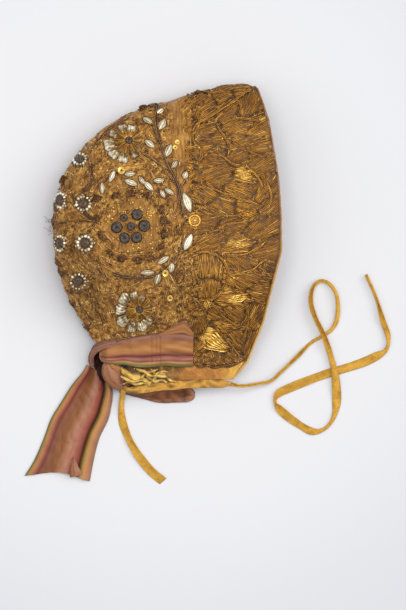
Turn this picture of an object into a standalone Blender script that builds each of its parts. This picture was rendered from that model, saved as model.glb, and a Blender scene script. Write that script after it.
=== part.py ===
"""An embroidered silk coif lying on its side, with its striped ribbon and its neck tie.

+X runs towards the face opening, +Y towards the ridge over the head, +Z up. The floor is z = 0.
The two sides of the coif meet in a rounded fold along the ridge and the back. The lower side is
pressed flat where it rests, the upper one stands up, and the head's hollow lies between them,
open at the front and at the neck. Shares of COIF_DEPTH run from the back of the crown to the
front edge, and shares of COIF_HEIGHT from the ridge down to the neck tie.
"""

import math
from collections import namedtuple

import bmesh
import bpy
import numpy as np
from mathutils import Vector
from mathutils.bvhtree import BVHTree

# Overall sizes, in metres
COIF_DEPTH = 0.165
COIF_HEIGHT = 0.220
LYING_HEIGHT = 0.057
ORIGIN_SHARE = 0.5

# The rounded fold, the neck and the front
RIDGE_HEIGHT_SHARE = 0.45
FOLD_REACH = 0.044
DOME_SHARE = 0.08
DOME_REACH = 0.100
NECK_HEIGHT_SHARE = 0.42
NECK_REACH = 0.070
FRONT_SAG_SHARE = 0.10
FRONT_BULGE_SHARE = 0.13

# Walls and clearances
BAND_WALL = 0.0022
CROWN_WALL = 0.0016
GATHERS_WALL = 0.0010
RIBBON_WALL = 0.0012
JOIN_GAP = 0.0004
SEWN_GAP = 0.0003
SEAT_GAP = 0.0003
RIBBON_LIFT = 0.0005

# Edge pieces
BINDING_WIDTH = 0.0024
BINDING_THICKNESS = 0.0028
CASING_WIDTH = 0.0062
CASING_THICKNESS = 0.0022
CASING_HEIGHT_SHARE = 0.30
GATHER_COUNT = 7
GATHER_DEPTH = 0.0011
TURN_RADIUS = 0.0045

# Striped ribbon
KNOT_LENGTH = 0.0205
KNOT_WIDTH = 0.0190
KNOT_HEIGHT = 0.0205
KNOT_GROOVE_SHARE = 0.12
LOOP_THICKNESS = 0.0024
TAIL_PLEAT_HEIGHT = 0.0046
LOOP_PLEAT_HEIGHT = 0.0008
SPREAD_SHARE = 0.16
SETTLED_SHARE = 0.30

# Neck tie
TIE_DIAMETER = 0.0024
TIE_POINT_SPACING = 0.0061

# Raised ornaments
LEAF_LENGTH = 0.0092
LEAF_WIDTH = 0.0040
LEAF_HEIGHT = 0.0009
SMALL_FLOWER_DIAMETER = 0.0160
SMALL_FLOWER_HEIGHT = 0.0022
LARGE_FLOWER_DIAMETER = 0.0270
LARGE_FLOWER_HEIGHT = 0.0030
ROSETTE_DISC_DIAMETER = 0.0084
ROSETTE_RING_RADIUS = 0.0080
ROSETTE_HEIGHT = 0.0028
SEQUIN_DIAMETER = 0.0086
SEQUIN_HEIGHT = 0.0016

Edge = namedtuple("Edge", "depth_share height_share")
Bulge = namedtuple("Bulge", "from_ridge_share bulge_share")
Strip = namedtuple("Strip", "depth_share top_share foot_share")
Across = namedtuple("Across", "left_depth left_height right_depth right_height")
Start = namedtuple("Start", "left_deg right_deg dip_deg")
Pleats = namedtuple("Pleats", "count height end_share")
Route = namedtuple("Route", "x y z")
Leaf = namedtuple("Leaf", "depth_share height_share angle_deg length_share")
Motif = namedtuple("Motif", "depth_share height_share size_share")

# The closed edge: along the band from the front corner to the seam, then over the crown to the nape
BAND_RIDGE = [
    Edge(0.892, 0.012),
    Edge(0.788, 0.005),
    Edge(0.681, 0.023),
    Edge(0.611, 0.036),
]
CROWN_RIDGE = [
    Edge(0.504, 0.061),
    Edge(0.398, 0.083),
    Edge(0.292, 0.118),
    Edge(0.186, 0.175),
    Edge(0.102, 0.245),
    Edge(0.044, 0.320),
    Edge(0.013, 0.407),
    Edge(0.007, 0.497),
    Edge(0.022, 0.586),
    Edge(0.058, 0.679),
    Edge(0.111, 0.755),
    Edge(0.168, 0.828),
]
RIDGE = BAND_RIDGE + CROWN_RIDGE

# The open edge at the neck: from the front corner back to the seam, then on to the nape
BAND_NECK = [
    Edge(0.845, 0.914),
    Edge(0.721, 0.930),
    Edge(0.615, 0.920),
]
CROWN_NECK = [
    Edge(0.491, 0.914),
    Edge(0.358, 0.901),
    Edge(0.221, 0.884),
]
NECK = BAND_NECK + CROWN_NECK

# How the front edge bows forward between the ridge and the neck
FRONT = [
    Bulge(0.00, 0.00),
    Bulge(0.12, 0.42),
    Bulge(0.23, 0.63),
    Bulge(0.34, 0.84),
    Bulge(0.47, 0.95),
    Bulge(0.60, 1.00),
    Bulge(0.70, 0.78),
    Bulge(0.85, 0.49),
    Bulge(1.00, 0.00),
]

# The casing's upper edge on the side that lies uppermost, from the nape to the front corner
CASING = [
    Edge(0.336, 0.996),
    Edge(0.407, 0.990),
    Edge(0.500, 0.982),
    Edge(0.646, 0.975),
    Edge(0.779, 0.975),
]
CASING_UNDER_SHARE = 0.949
TURN_NECK_SHARE = 0.336

# The ribbon over the foot of the crown, from the seam back to the nape
RIBBON = [
    Strip(0.607, 0.828, 0.930),
    Strip(0.549, 0.820, 0.927),
    Strip(0.425, 0.823, 0.936),
    Strip(0.314, 0.838, 0.936),
    Strip(0.235, 0.852, 0.940),
    Strip(0.200, 0.872, 0.930),
]
KNOT_AT = Edge(0.237, 0.948)

# Rows across the ribbon's long end, then across its folded loop, away from the knot
TAIL = [
    Across(0.124, 0.952, 0.205, 1.016),
    Across(0.080, 0.993, 0.257, 1.023),
    Across(0.022, 1.055, 0.252, 1.060),
    Across(-0.020, 1.110, 0.235, 1.112),
    Across(-0.053, 1.175, 0.200, 1.172),
    Across(-0.095, 1.245, 0.172, 1.235),
    Across(-0.133, 1.295, 0.155, 1.313),
]
TAIL_START = Start(193, 262, 0)
LOOP = [
    Across(0.300, 1.010, 0.285, 1.020),
    Across(0.340, 0.996, 0.330, 1.027),
    Across(0.400, 0.994, 0.390, 1.039),
    Across(0.480, 0.997, 0.480, 1.053),
    Across(0.560, 0.999, 0.560, 1.053),
    Across(0.612, 1.012, 0.615, 1.036),
]
LOOP_START = Start(-28, -62, 50)
TAIL_PLEATS = Pleats(2.5, TAIL_PLEAT_HEIGHT, 0.15)
LOOP_PLEATS = Pleats(1, LOOP_PLEAT_HEIGHT, 0.15)

# The tie's free ends, each from where it leaves the casing, in metres
TIE_RIGHT = [
    Route(0.0464, -0.1080, 0.0171),
    Route(0.0530, -0.1094, 0.0152),
    Route(0.0600, -0.1090, 0.0115),
    Route(0.0679, -0.1077, 0.0085),
    Route(0.0762, -0.1058, 0.0058),
    Route(0.0840, -0.0989, 0.0038),
    Route(0.0934, -0.0901, 0.0024),
    Route(0.1051, -0.0785, 0.0015),
    Route(0.1131, -0.0737, 0.0013),
    Route(0.1200, -0.0690, 0.0015),
    Route(0.1240, -0.0625, 0.0020),
    Route(0.1252, -0.0530, 0.0030),
    Route(0.1240, -0.0430, 0.0036),
    Route(0.1200, -0.0360, 0.0038),
    Route(0.1139, -0.0326, 0.0038),
    Route(0.1085, -0.0350, 0.0038),
    Route(0.1055, -0.0420, 0.0040),
    Route(0.1056, -0.0505, 0.0044),
    Route(0.1086, -0.0599, 0.0048),
    Route(0.1133, -0.0695, 0.0050),
    Route(0.1172, -0.0795, 0.0048),
    Route(0.1205, -0.0901, 0.0046),
    Route(0.1228, -0.0998, 0.0044),
    Route(0.1240, -0.1102, 0.0030),
    Route(0.1243, -0.1215, 0.0016),
    Route(0.1226, -0.1314, 0.0013),
    Route(0.1183, -0.1387, 0.0013),
    Route(0.1121, -0.1427, 0.0013),
    Route(0.1058, -0.1429, 0.0013),
    Route(0.0988, -0.1394, 0.0013),
    Route(0.0900, -0.1334, 0.0013),
    Route(0.0829, -0.1272, 0.0013),
    Route(0.0790, -0.1210, 0.0014),
    Route(0.0818, -0.1152, 0.0014),
    Route(0.0900, -0.1113, 0.0013),
    Route(0.1033, -0.1058, 0.0013),
    Route(0.1175, -0.1007, 0.0013),
    Route(0.1298, -0.0971, 0.0013),
    Route(0.1431, -0.0927, 0.0013),
    Route(0.1528, -0.0883, 0.0014),
    Route(0.1594, -0.0845, 0.0018),
    Route(0.1621, -0.0790, 0.0028),
    Route(0.1616, -0.0715, 0.0034),
    Route(0.1581, -0.0618, 0.0034),
    Route(0.1528, -0.0441, 0.0034),
    Route(0.1457, -0.0281, 0.0034),
]
TIE_LEFT = [
    Route(-0.0318, -0.1122, 0.0090),
    Route(-0.0330, -0.1185, 0.0044),
    Route(-0.0337, -0.1265, 0.0018),
    Route(-0.0326, -0.1365, 0.0013),
    Route(-0.0299, -0.1445, 0.0013),
    Route(-0.0260, -0.1526, 0.0013),
    Route(-0.0207, -0.1613, 0.0013),
    Route(-0.0140, -0.1698, 0.0013),
    Route(-0.0088, -0.1750, 0.0013),
    Route(-0.0029, -0.1796, 0.0013),
]

# Ornaments on the upper side of the crown
LEAVES = [
    Leaf(0.419, 0.128, -45, 1.00),
    Leaf(0.481, 0.141, -70, 1.00),
    Leaf(0.473, 0.101, 20, 0.70),
    Leaf(0.427, 0.203, -42, 1.00),
    Leaf(0.509, 0.225, 65, 0.95),
    Leaf(0.533, 0.272, 55, 0.80),
    Leaf(0.578, 0.306, 70, 0.85),
    Leaf(0.335, 0.297, 5, 0.80),
    Leaf(0.350, 0.335, -30, 0.85),
    Leaf(0.386, 0.308, -50, 0.90),
    Leaf(0.420, 0.346, -50, 1.00),
    Leaf(0.466, 0.318, 0, 0.95),
    Leaf(0.519, 0.353, -30, 0.80),
    Leaf(0.473, 0.374, 60, 0.90),
    Leaf(0.264, 0.309, 65, 0.95),
    Leaf(0.221, 0.348, 85, 0.95),
    Leaf(0.585, 0.392, 80, 1.20),
    Leaf(0.587, 0.523, 65, 1.20),
    Leaf(0.486, 0.577, 30, 1.00),
    Leaf(0.417, 0.621, 0, 1.00),
    Leaf(0.540, 0.595, 85, 0.90),
    Leaf(0.466, 0.655, 80, 0.90),
]
SMALL_FLOWERS = [
    Motif(0.141, 0.397, 1.00),
    Motif(0.147, 0.526, 1.00),
    Motif(0.118, 0.647, 0.95),
    Motif(0.046, 0.386, 0.75),
    Motif(0.044, 0.525, 0.75),
    Motif(0.126, 0.253, 0.85),
]
LARGE_FLOWERS = {
    "flower_top": Motif(0.308, 0.200, 0.95),
    "flower_bottom": Motif(0.380, 0.737, 1.10),
}
ROSETTE_AT = Motif(0.345, 0.472, 1.00)
SEQUINS = [
    Motif(0.596, 0.453, 1.00),
    Motif(0.556, 0.190, 0.45),
    Motif(0.535, 0.219, 0.45),
    Motif(0.305, 0.340, 0.60),
    Motif(0.500, 0.629, 0.55),
    Motif(0.516, 0.701, 0.50),
]

# Where the gathers have their rows of points, as shares of the way from the seam to the casing
GATHER_ROWS = [0.0, 0.3, 0.7, 1.0]

# How finely the shapes are faceted
BAND_HOOPS = 8
CROWN_HOOPS = 19
SIDE_STEPS = 15
CURVE_STEPS = 12
SECTION_SIDES = 8
LEAF_SIDES = 8
GATHER_STEPS = 5
CASING_STEPS = 11
TURN_STEPS = 6

# Colour, roughness and metallic value of each material
MATERIALS = {
    "metal_thread": ((0.30, 0.16, 0.045), 0.45, 0.55),
    "ochre_silk": ((0.48, 0.23, 0.06), 0.70, 0.0),
    "yellow_silk": ((0.68, 0.36, 0.06), 0.65, 0.0),
    "striped_ribbon": ((0.45, 0.20, 0.14), 0.60, 0.0),
    "silver": ((0.62, 0.58, 0.50), 0.30, 0.90),
    "dark_purl": ((0.16, 0.11, 0.08), 0.40, 0.60),
    "gold": ((0.80, 0.50, 0.15), 0.30, 0.95),
}


def plan(depth_share, height_share):
    """X and Y of a place on the coif's side, from its shares of the depth and the height."""
    x = (np.asarray(depth_share, float) - ORIGIN_SHARE) * COIF_DEPTH
    y = (ORIGIN_SHARE - np.asarray(height_share, float)) * COIF_HEIGHT
    return np.stack(np.broadcast_arrays(x, y), axis=-1)


def edge_plan(rows):
    """X and Y of each row of a table of edges."""
    return plan([row.depth_share for row in rows], [row.height_share for row in rows])


def eased(share):
    """0 to 1 with a level start and end, where share runs from 0 to 1."""
    share = np.clip(share, 0, 1)
    return share * share * (3 - 2 * share)


def blend(start, end, share):
    """The point at this share of the way from start to end."""
    return start + (end - start) * share


def through(points):
    """A smooth curve through the points, CURVE_STEPS steps from each to the next."""
    points = np.asarray(points, float)
    first, last = 2 * points[0] - points[1], 2 * points[-1] - points[-2]
    before, after = np.vstack([first, points[:-2]]), np.vstack([points[2:], last])
    step = np.linspace(0, 1, CURVE_STEPS, endpoint=False)[None, :, None]
    start, end = points[:-1, None], points[1:, None]
    before, after = before[:, None], after[:, None]
    bend = 2 * before - 5 * start + 4 * end - after
    twist = -before + 3 * start - 3 * end + after
    curve = start + 0.5 * ((end - before) * step + bend * step**2 + twist * step**3)
    return np.vstack([curve.reshape(-1, points.shape[1]), points[-1]])


def travelled(curve):
    """How far along the curve each of its points lies."""
    steps = np.linalg.norm(np.diff(curve, axis=0), axis=1)
    return np.concatenate([[0.0], np.cumsum(steps)])


def point_along(curve, lengths):
    """The curve's points at these lengths from its start."""
    along = travelled(curve)
    return np.stack([np.interp(lengths, along, column) for column in curve.T], axis=-1)


RIDGE_CURVE = through(edge_plan(RIDGE))
NECK_CURVE = through(edge_plan(NECK))


def edge_at(curve, band_rows, hoop):
    """The edge's points at these hoops: -1 is the front, 0 the seam and 1 the nape."""
    along = travelled(curve)
    seam = along[(len(band_rows) - 1) * CURVE_STEPS]
    lengths = np.where(hoop < 0, seam * (1 + hoop), blend(seam, along[-1], hoop))
    return point_along(curve, lengths)


def side_plan(hoop, from_ridge):
    """X and Y on a side, at a hoop and at a share of the way from the ridge to the neck."""
    ridge = edge_at(RIDGE_CURVE, BAND_RIDGE, hoop)
    neck = edge_at(NECK_CURVE, BAND_NECK, hoop)
    place = blend(ridge, neck, from_ridge[..., None])
    bulge = np.interp(from_ridge, *zip(*FRONT)) * FRONT_BULGE_SHARE * COIF_DEPTH
    place[..., 0] += bulge * np.clip(-hoop, 0, 1)
    return place


def ridge_distance(place):
    """How far each place lies from the closed edge, seen from above."""
    start, end = RIDGE_CURVE[:-1], RIDGE_CURVE[1:]
    run = end - start
    offset = place[..., None, :] - start
    share = np.clip((offset * run).sum(-1) / (run * run).sum(-1), 0, 1)
    return np.linalg.norm(offset - share[..., None] * run, axis=-1).min(axis=-1)


def side_heights(place, wall):
    """Heights of the middle of the upper and of the lower side's wall at each place."""
    reach = ridge_distance(place)
    round_part = np.sqrt(1 - (1 - np.clip(reach / FOLD_REACH, 0, 1)) ** 2)
    rise = (1 - DOME_SHARE) * round_part + DOME_SHARE * eased(reach / DOME_REACH)
    backwards = NECK_CURVE[::-1]
    neck_y = np.interp(place[..., 0], backwards[:, 0], backwards[:, 1])
    from_neck = np.clip((place[..., 1] - neck_y) / NECK_REACH, 0, 1)
    drawn = blend(NECK_HEIGHT_SHARE, 1, eased(from_neck))
    front = plan([BAND_RIDGE[-1].depth_share, 1], [0, 0])[:, 0]
    sag = FRONT_SAG_SHARE * eased((place[..., 0] - front[0]) / (front[1] - front[0]))
    ridge = RIDGE_HEIGHT_SHARE * LYING_HEIGHT * drawn
    top = (LYING_HEIGHT - wall / 2) * drawn * (1 - sag)
    upper = blend(ridge, top, rise)
    lower = blend(ridge, wall / 2, round_part)
    return upper, lower


def shell_points(hoops, turns, wall):
    """The middle surface of a shell. A turn is -1 at the upper neck edge, 0 at the ridge, 1 below."""
    hoop, turn = np.meshgrid(hoops, turns, indexing="ij")
    place = side_plan(hoop, 0.5 - 0.5 * np.cos(turn * math.pi))
    upper, lower = side_heights(place, wall)
    return np.dstack([place, np.where(turn < 0, upper, lower)])


def new_object(name, mesh, material, parent):
    """A named object for this mesh, smooth except at its sharp edges."""
    mesh.materials.append(bpy.data.materials[material])
    mesh.shade_smooth()
    mesh.set_sharp_from_angle(angle=math.radians(50))
    made = bpy.data.objects.new(name, mesh)
    made.parent = parent
    bpy.context.scene.collection.objects.link(made)
    return made


def sheet(name, points, wall, material, parent):
    """A cloth piece: the grid of points is the middle of its wall."""
    rows, columns = points.shape[:2]
    corner = np.arange(rows * columns).reshape(rows, columns)
    quads = np.stack([corner[:-1, :-1], corner[1:, :-1], corner[1:, 1:], corner[:-1, 1:]], -1)
    mesh = bpy.data.meshes.new(name)
    mesh.from_pydata(points.reshape(-1, 3).tolist(), [], quads.reshape(-1, 4).tolist())
    made = new_object(name, mesh, material, parent)
    solid = made.modifiers.new("wall", "SOLIDIFY")
    solid.thickness = wall
    solid.offset = 0
    solid.use_even_offset = True
    return made


def rings_body(name, rings, material, parent):
    """A closed body through rings of equally many points, from its first ring to its last."""
    count, sides = rings.shape[:2]
    corner = np.arange(count * sides).reshape(count, sides)
    beside = np.roll(corner, -1, axis=1)
    quads = np.stack([corner[:-1], beside[:-1], beside[1:], corner[1:]], -1)
    faces = quads.reshape(-1, 4).tolist() + [corner[0, ::-1].tolist(), corner[-1].tolist()]
    mesh = bpy.data.meshes.new(name)
    mesh.from_pydata(rings.reshape(-1, 3).tolist(), [], faces)
    shape = bmesh.new()
    shape.from_mesh(mesh)
    bmesh.ops.recalc_face_normals(shape, faces=shape.faces)
    shape.to_mesh(mesh)
    shape.free()
    return new_object(name, mesh, material, parent)


def unit(vectors):
    """The vectors at a length of 1."""
    return vectors / np.linalg.norm(vectors, axis=-1, keepdims=True)


def squared(across, path):
    """Unit vectors nearest to across that lie square to the path."""
    ahead = unit(np.gradient(path, axis=0))
    return unit(across - (across * ahead).sum(-1, keepdims=True) * ahead)


def swept_body(name, path, across, width, thickness, material, parent):
    """An oval strip along a path. Its width lies along across, square to the path."""
    across = squared(across, path)
    up = np.cross(unit(np.gradient(path, axis=0)), across)
    angle = np.arange(SECTION_SIDES) * 2 * math.pi / SECTION_SIDES
    wide = np.cos(angle)[None, :, None] * across[:, None] * width / 2
    thick = np.sin(angle)[None, :, None] * up[:, None] * thickness / 2
    return rings_body(name, path[:, None] + wide + thick, material, parent)


def front_band(parent):
    """The stiff band round the face, from the front edge to the seam."""
    hoops = np.linspace(-1, 0, BAND_HOOPS)
    turns = np.linspace(-1, 1, 2 * SIDE_STEPS + 1)
    points = shell_points(hoops, turns, BAND_WALL)
    points[..., 0] += JOIN_GAP / 2
    return sheet("front_band", points, BAND_WALL, "metal_thread", parent)


def crown(parent):
    """The silk bag behind the band, from the seam to the nape."""
    hoops = np.linspace(0, 1, CROWN_HOOPS)
    turns = np.linspace(-1, 1, 2 * SIDE_STEPS + 1)
    points = shell_points(hoops, turns, CROWN_WALL)
    points[..., 0] -= JOIN_GAP / 2
    return sheet("crown", points, CROWN_WALL, "ochre_silk", parent)


def neck_runs(shares, rise, inset=0.0):
    """The seam with the shells and the casing's upper edge, at shares from the nape to the front.

    The rise is 1 on the upper side, -1 on the lower one and between them on the turn at the nape.
    The inset keeps the front end back from the binding.
    """
    neck = edge_plan(NECK)
    seam_x = blend(plan(TURN_NECK_SHARE, 0)[0], neck[0, 0] - BINDING_WIDTH - inset, shares)
    backwards = NECK_CURVE[::-1]
    seam_y = np.interp(seam_x, backwards[:, 0], backwards[:, 1]) - SEWN_GAP
    seam = np.stack([seam_x, seam_y], axis=-1)
    upper, _ = side_heights(seam, BAND_WALL)
    casing_curve = through(edge_plan(CASING))
    casing = point_along(casing_curve, shares * travelled(casing_curve)[-1])
    casing[..., 0] -= inset * shares
    under_y = plan(0, CASING_UNDER_SHARE)[1]
    casing[..., 1] = blend(under_y, casing[..., 1], (rise + 1) / 2)
    share_up = (rise + 1) / 2
    seam_z = blend(GATHERS_WALL / 2, upper, share_up)
    casing_z = blend(CASING_THICKNESS / 2, CASING_HEIGHT_SHARE * LYING_HEIGHT, share_up)
    turned = np.sqrt(1 - rise**2) * TURN_RADIUS
    seam[..., 0] -= turned
    casing[..., 0] -= turned
    return np.column_stack([seam, seam_z]), np.column_stack([casing, casing_z])


def neck_path(run_steps, turn_steps):
    """Shares from the nape and rises, from the upper front corner round the nape to the lower one."""
    run = np.linspace(1, 0, run_steps, endpoint=False)
    turn = np.linspace(90, -90, turn_steps + 1)
    shares = np.concatenate([run, np.zeros(turn_steps + 1), run[::-1]])
    rises = np.concatenate([np.ones(run_steps), np.sin(np.radians(turn)), -np.ones(run_steps)])
    return shares, rises


def neck_gathers(parent):
    """The crumpled silk below both shells, in gathers that deepen away from the seam."""
    shares, rises = neck_path(GATHER_COUNT * GATHER_STEPS, TURN_STEPS)
    seam, casing = neck_runs(shares, rises, BINDING_WIDTH / 2)
    down = np.array(GATHER_ROWS)
    points = blend(seam[:, None], casing[:, None], down[None, :, None])
    wave = 0.5 - 0.5 * np.cos(shares * GATHER_COUNT * 2 * math.pi)
    fullness = GATHER_DEPTH * np.sin(down * math.pi * 0.8)
    points[..., 2] += wave[:, None] * fullness[None, :]
    return sheet("neck_gathers", points, GATHERS_WALL, "yellow_silk", parent)


def neck_casing(parent):
    """The flat channel at the neck's edge that the tie runs through."""
    shares, rises = neck_path(CASING_STEPS, TURN_STEPS)
    _, hem = neck_runs(shares, rises)
    across = squared(np.array([0.0, 1.0, 0.0]), hem)
    path = hem - across * (CASING_WIDTH / 2 + SEWN_GAP)
    return swept_body(
        "neck_casing", path, across, CASING_WIDTH, CASING_THICKNESS, "yellow_silk", parent
    )


def front_binding(parent):
    """The thin binding on the band's front edge, carried on to the casing at both ends."""
    turns = np.linspace(-1, 1, 2 * SIDE_STEPS + 1)
    rims = shell_points(np.array([-1.0, -0.99]), turns, BAND_WALL)
    rims[..., 0] += JOIN_GAP / 2
    edge, inner = rims
    outward = squared(edge - inner, edge)
    path = edge + outward * (BINDING_WIDTH / 2 + SEWN_GAP)
    _, casing = neck_runs(np.array([1.0, 1.0]), np.array([1.0, -1.0]))
    stops = casing + [BINDING_WIDTH / 2 + SEWN_GAP, SEWN_GAP, 0]
    stops[:, 2] = np.maximum(stops[:, 2], BINDING_THICKNESS / 2)
    path[:, 2] = np.maximum(path[:, 2], BINDING_THICKNESS / 2)
    halves = blend(stops, path[[0, -1]], 0.5)
    path = np.vstack([stops[0], halves[0], path, halves[1], stops[1]])
    across = np.vstack([outward[:1], outward[:1], outward, outward[-1:], outward[-1:]])
    return swept_body(
        "front_binding", path, across, BINDING_WIDTH, BINDING_THICKNESS, "yellow_silk", parent
    )


def knot_centre():
    """The middle of the knot, which rests on the floor."""
    return np.append(edge_plan([KNOT_AT])[0], KNOT_HEIGHT / 2)


def knot_side(angle_deg, dip_deg, clearance):
    """Points this far outside the knot, at angles round it and at one angle below its middle."""
    angle, dip = np.radians(angle_deg), math.radians(dip_deg)
    x = np.cos(angle) * math.cos(dip) * (KNOT_WIDTH / 2 + clearance)
    y = np.sin(angle) * math.cos(dip) * (KNOT_LENGTH / 2 + clearance)
    z = np.full_like(x, -math.sin(dip) * (KNOT_HEIGHT / 2 + clearance))
    return knot_centre() + np.stack([x, y, z], axis=-1)


def ribbon_knot(parent):
    """The knot at the nape: an egg with grooves where the ribbon's turns meet."""
    shape = bmesh.new()
    bmesh.ops.create_uvsphere(shape, u_segments=16, v_segments=10, radius=0.5)
    for vertex in shape.verts:
        turn = math.atan2(vertex.co.z, vertex.co.x)
        groove = 1 - KNOT_GROOVE_SHARE * math.cos(1.5 * turn + 3 * vertex.co.y) ** 8
        vertex.co *= groove
        vertex.co.x *= KNOT_WIDTH
        vertex.co.y *= KNOT_LENGTH
        vertex.co.z *= KNOT_HEIGHT
        vertex.co += Vector(knot_centre())
    mesh = bpy.data.meshes.new("ribbon_knot")
    shape.to_mesh(mesh)
    shape.free()
    return new_object("ribbon_knot", mesh, "striped_ribbon", parent)


def ribbon_band(parent):
    """The ribbon over the foot of the crown: it lies on the silk, then on the knot."""
    top = through(plan([row.depth_share for row in RIBBON], [row.top_share for row in RIBBON]))
    foot = through(plan([row.depth_share for row in RIBBON], [row.foot_share for row in RIBBON]))
    shares = np.linspace(0, 1, 16)
    top = point_along(top, shares * travelled(top)[-1])
    foot = point_along(foot, shares * travelled(foot)[-1])
    down = np.linspace(0, 1, 7)
    place = blend(top[:, None], foot[:, None], down[None, :, None])
    silk, _ = side_heights(place, CROWN_WALL)
    silk += CROWN_WALL / 2
    centre = knot_centre()
    offset = (place - centre[:2]) / [KNOT_WIDTH / 2, KNOT_LENGTH / 2]
    over = np.sqrt(np.clip(1 - (offset**2).sum(-1), 0, 1))
    knot = centre[2] + over * KNOT_HEIGHT / 2
    height = np.maximum(silk, knot) + RIBBON_LIFT + RIBBON_WALL / 2
    return sheet("ribbon_band", np.dstack([place, height]), RIBBON_WALL, "striped_ribbon", parent)


def lying_ribbon(name, rows, leaves, wall, pleats, steps, parent):
    """A ribbon's end that leaves the knot and comes to lie on the floor, pleated near the knot."""
    left = through(plan([row.left_depth for row in rows], [row.left_height for row in rows]))
    right = through(plan([row.right_depth for row in rows], [row.right_height for row in rows]))
    shares = np.linspace(0, 1, steps[0])
    left = point_along(left, shares * travelled(left)[-1])
    right = point_along(right, shares * travelled(right)[-1])
    over = np.linspace(0, 1, steps[1])
    place = blend(left[:, None], right[:, None], over[None, :, None])
    round_knot = blend(leaves.left_deg, leaves.right_deg, over)
    start = knot_side(round_knot, leaves.dip_deg, SEWN_GAP + wall / 2)
    start[:, 2] = np.maximum(start[:, 2], wall / 2)
    away = eased(shares / SPREAD_SHARE)[:, None, None]
    place = blend(start[None, :, :2], place, away)
    fold = 0.5 - 0.5 * np.cos(over * pleats.count * 2 * math.pi)
    fullness = pleats.height * blend(1, pleats.end_share, shares**0.6)
    height = wall / 2 + fold[None, :] * fullness[:, None]
    height = blend(start[None, :, 2], height, eased(shares / SETTLED_SHARE)[:, None])
    return sheet(name, np.dstack([place, height]), wall, "striped_ribbon", parent)


def tie(name, route, parent):
    """One free end of the neck tie, as a round cord along a smooth curve through its route."""
    curve = through([tuple(row) for row in route])
    length = travelled(curve)[-1]
    count = math.ceil(length / TIE_POINT_SPACING) + 1
    path = point_along(curve, np.linspace(0, length, count))
    line = bpy.data.curves.new(name, "CURVE")
    line.dimensions = "3D"
    line.bevel_depth = TIE_DIAMETER / 2
    line.bevel_resolution = 2
    line.use_fill_caps = True
    spline = line.splines.new("POLY")
    spline.points.add(count - 1)
    for point, place in zip(spline.points, path):
        point.co = (*place, 1)
    line.materials.append(bpy.data.materials["yellow_silk"])
    made = bpy.data.objects.new(name, line)
    made.parent = parent
    bpy.context.scene.collection.objects.link(made)
    return made


def highest_hit(x, y, cloth):
    """Where a plumb line at x and y first meets any of these surfaces, or None."""
    start, down = Vector((x, y, 2 * LYING_HEIGHT)), Vector((0, 0, -1))
    hits = [surface.ray_cast(start, down)[0] for surface in cloth]
    return max((hit for hit in hits if hit is not None), key=lambda hit: hit.z, default=None)


def seated(local, place, angle_deg, cloth):
    """Moves an ornament's points, given round its middle and up from its flat back, to its seat.

    The seat is the plane that fits the cloth under the ornament, lifted clear of it.
    """
    angle = math.radians(angle_deg)
    turn = np.array([[math.cos(angle), math.sin(angle)], [-math.sin(angle), math.cos(angle)]])
    flat = local[..., :2].reshape(-1, 2) @ turn
    probe = np.vstack([[0, 0], flat[:: max(1, len(flat) // 40)]])
    hits = [highest_hit(x, y, cloth) for x, y in probe + place]
    hits = np.array([hit for hit in hits if hit is not None])
    middle = hits.mean(axis=0)
    normal = np.linalg.svd(hits - middle)[2][-1]
    normal *= np.sign(normal[2])
    along = unit(np.cross([0, 1, 0], normal))
    sideways = np.cross(normal, along)
    lift = ((hits - middle) @ normal).max() + SEAT_GAP
    seat = middle + normal * lift
    up = local[..., 2].reshape(-1, 1)
    moved = seat + flat[:, :1] * along + flat[:, 1:] * sideways + up * normal
    return moved.reshape(local.shape)


def ringed(radii, heights, sides, lobes=0, lobe_share=0.0):
    """Rings of the given radii and heights round +Z, the outer ones cut into lobes."""
    angle = np.arange(sides) * 2 * math.pi / sides
    radii, heights = np.array(radii, float), np.array(heights, float)
    reach = radii[:, None] / radii.max()
    lobe = 1 - lobe_share * reach**4 * (0.5 - 0.5 * np.cos(lobes * angle))[None, :]
    radius = radii[:, None] * lobe
    height = np.broadcast_to(heights[:, None], radius.shape)
    return np.stack([radius * np.cos(angle), radius * np.sin(angle), height], axis=-1)


def ornament(name, local, motif, angle_deg, material, cloth, parent):
    """An ornament of these local rings, seated on the cloth at its place."""
    place = plan(motif.depth_share, motif.height_share)
    return rings_body(name, seated(local, place, angle_deg, cloth), material, parent)


def leaf_shape(share):
    """A pointed leaf with a raised middle."""
    angle = np.arange(LEAF_SIDES) * 2 * math.pi / LEAF_SIDES
    x = np.cos(angle) * LEAF_LENGTH / 2 * share
    y = np.sin(angle) * np.abs(np.sin(angle)) ** 0.4 * LEAF_WIDTH / 2 * share
    rings = [(1.0, 0.0), (1.0, 0.3), (0.45, 1.0)]
    rise = np.full_like(x, LEAF_HEIGHT)
    return np.stack([np.stack([x * size, y * size, rise * up], axis=-1) for size, up in rings])


def flower_shape(diameter, height, sides, petals):
    """A round flower: lobed petals, a dip round the middle and a domed centre."""
    radius = diameter / 2
    radii = [radius, radius, radius * 0.82, radius * 0.48, radius * 0.38, radius * 0.15]
    heights = [0, height * 0.35, height * 0.7, height * 0.45, height * 0.8, height]
    return ringed(radii, heights, sides, petals, 0.16)


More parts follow.
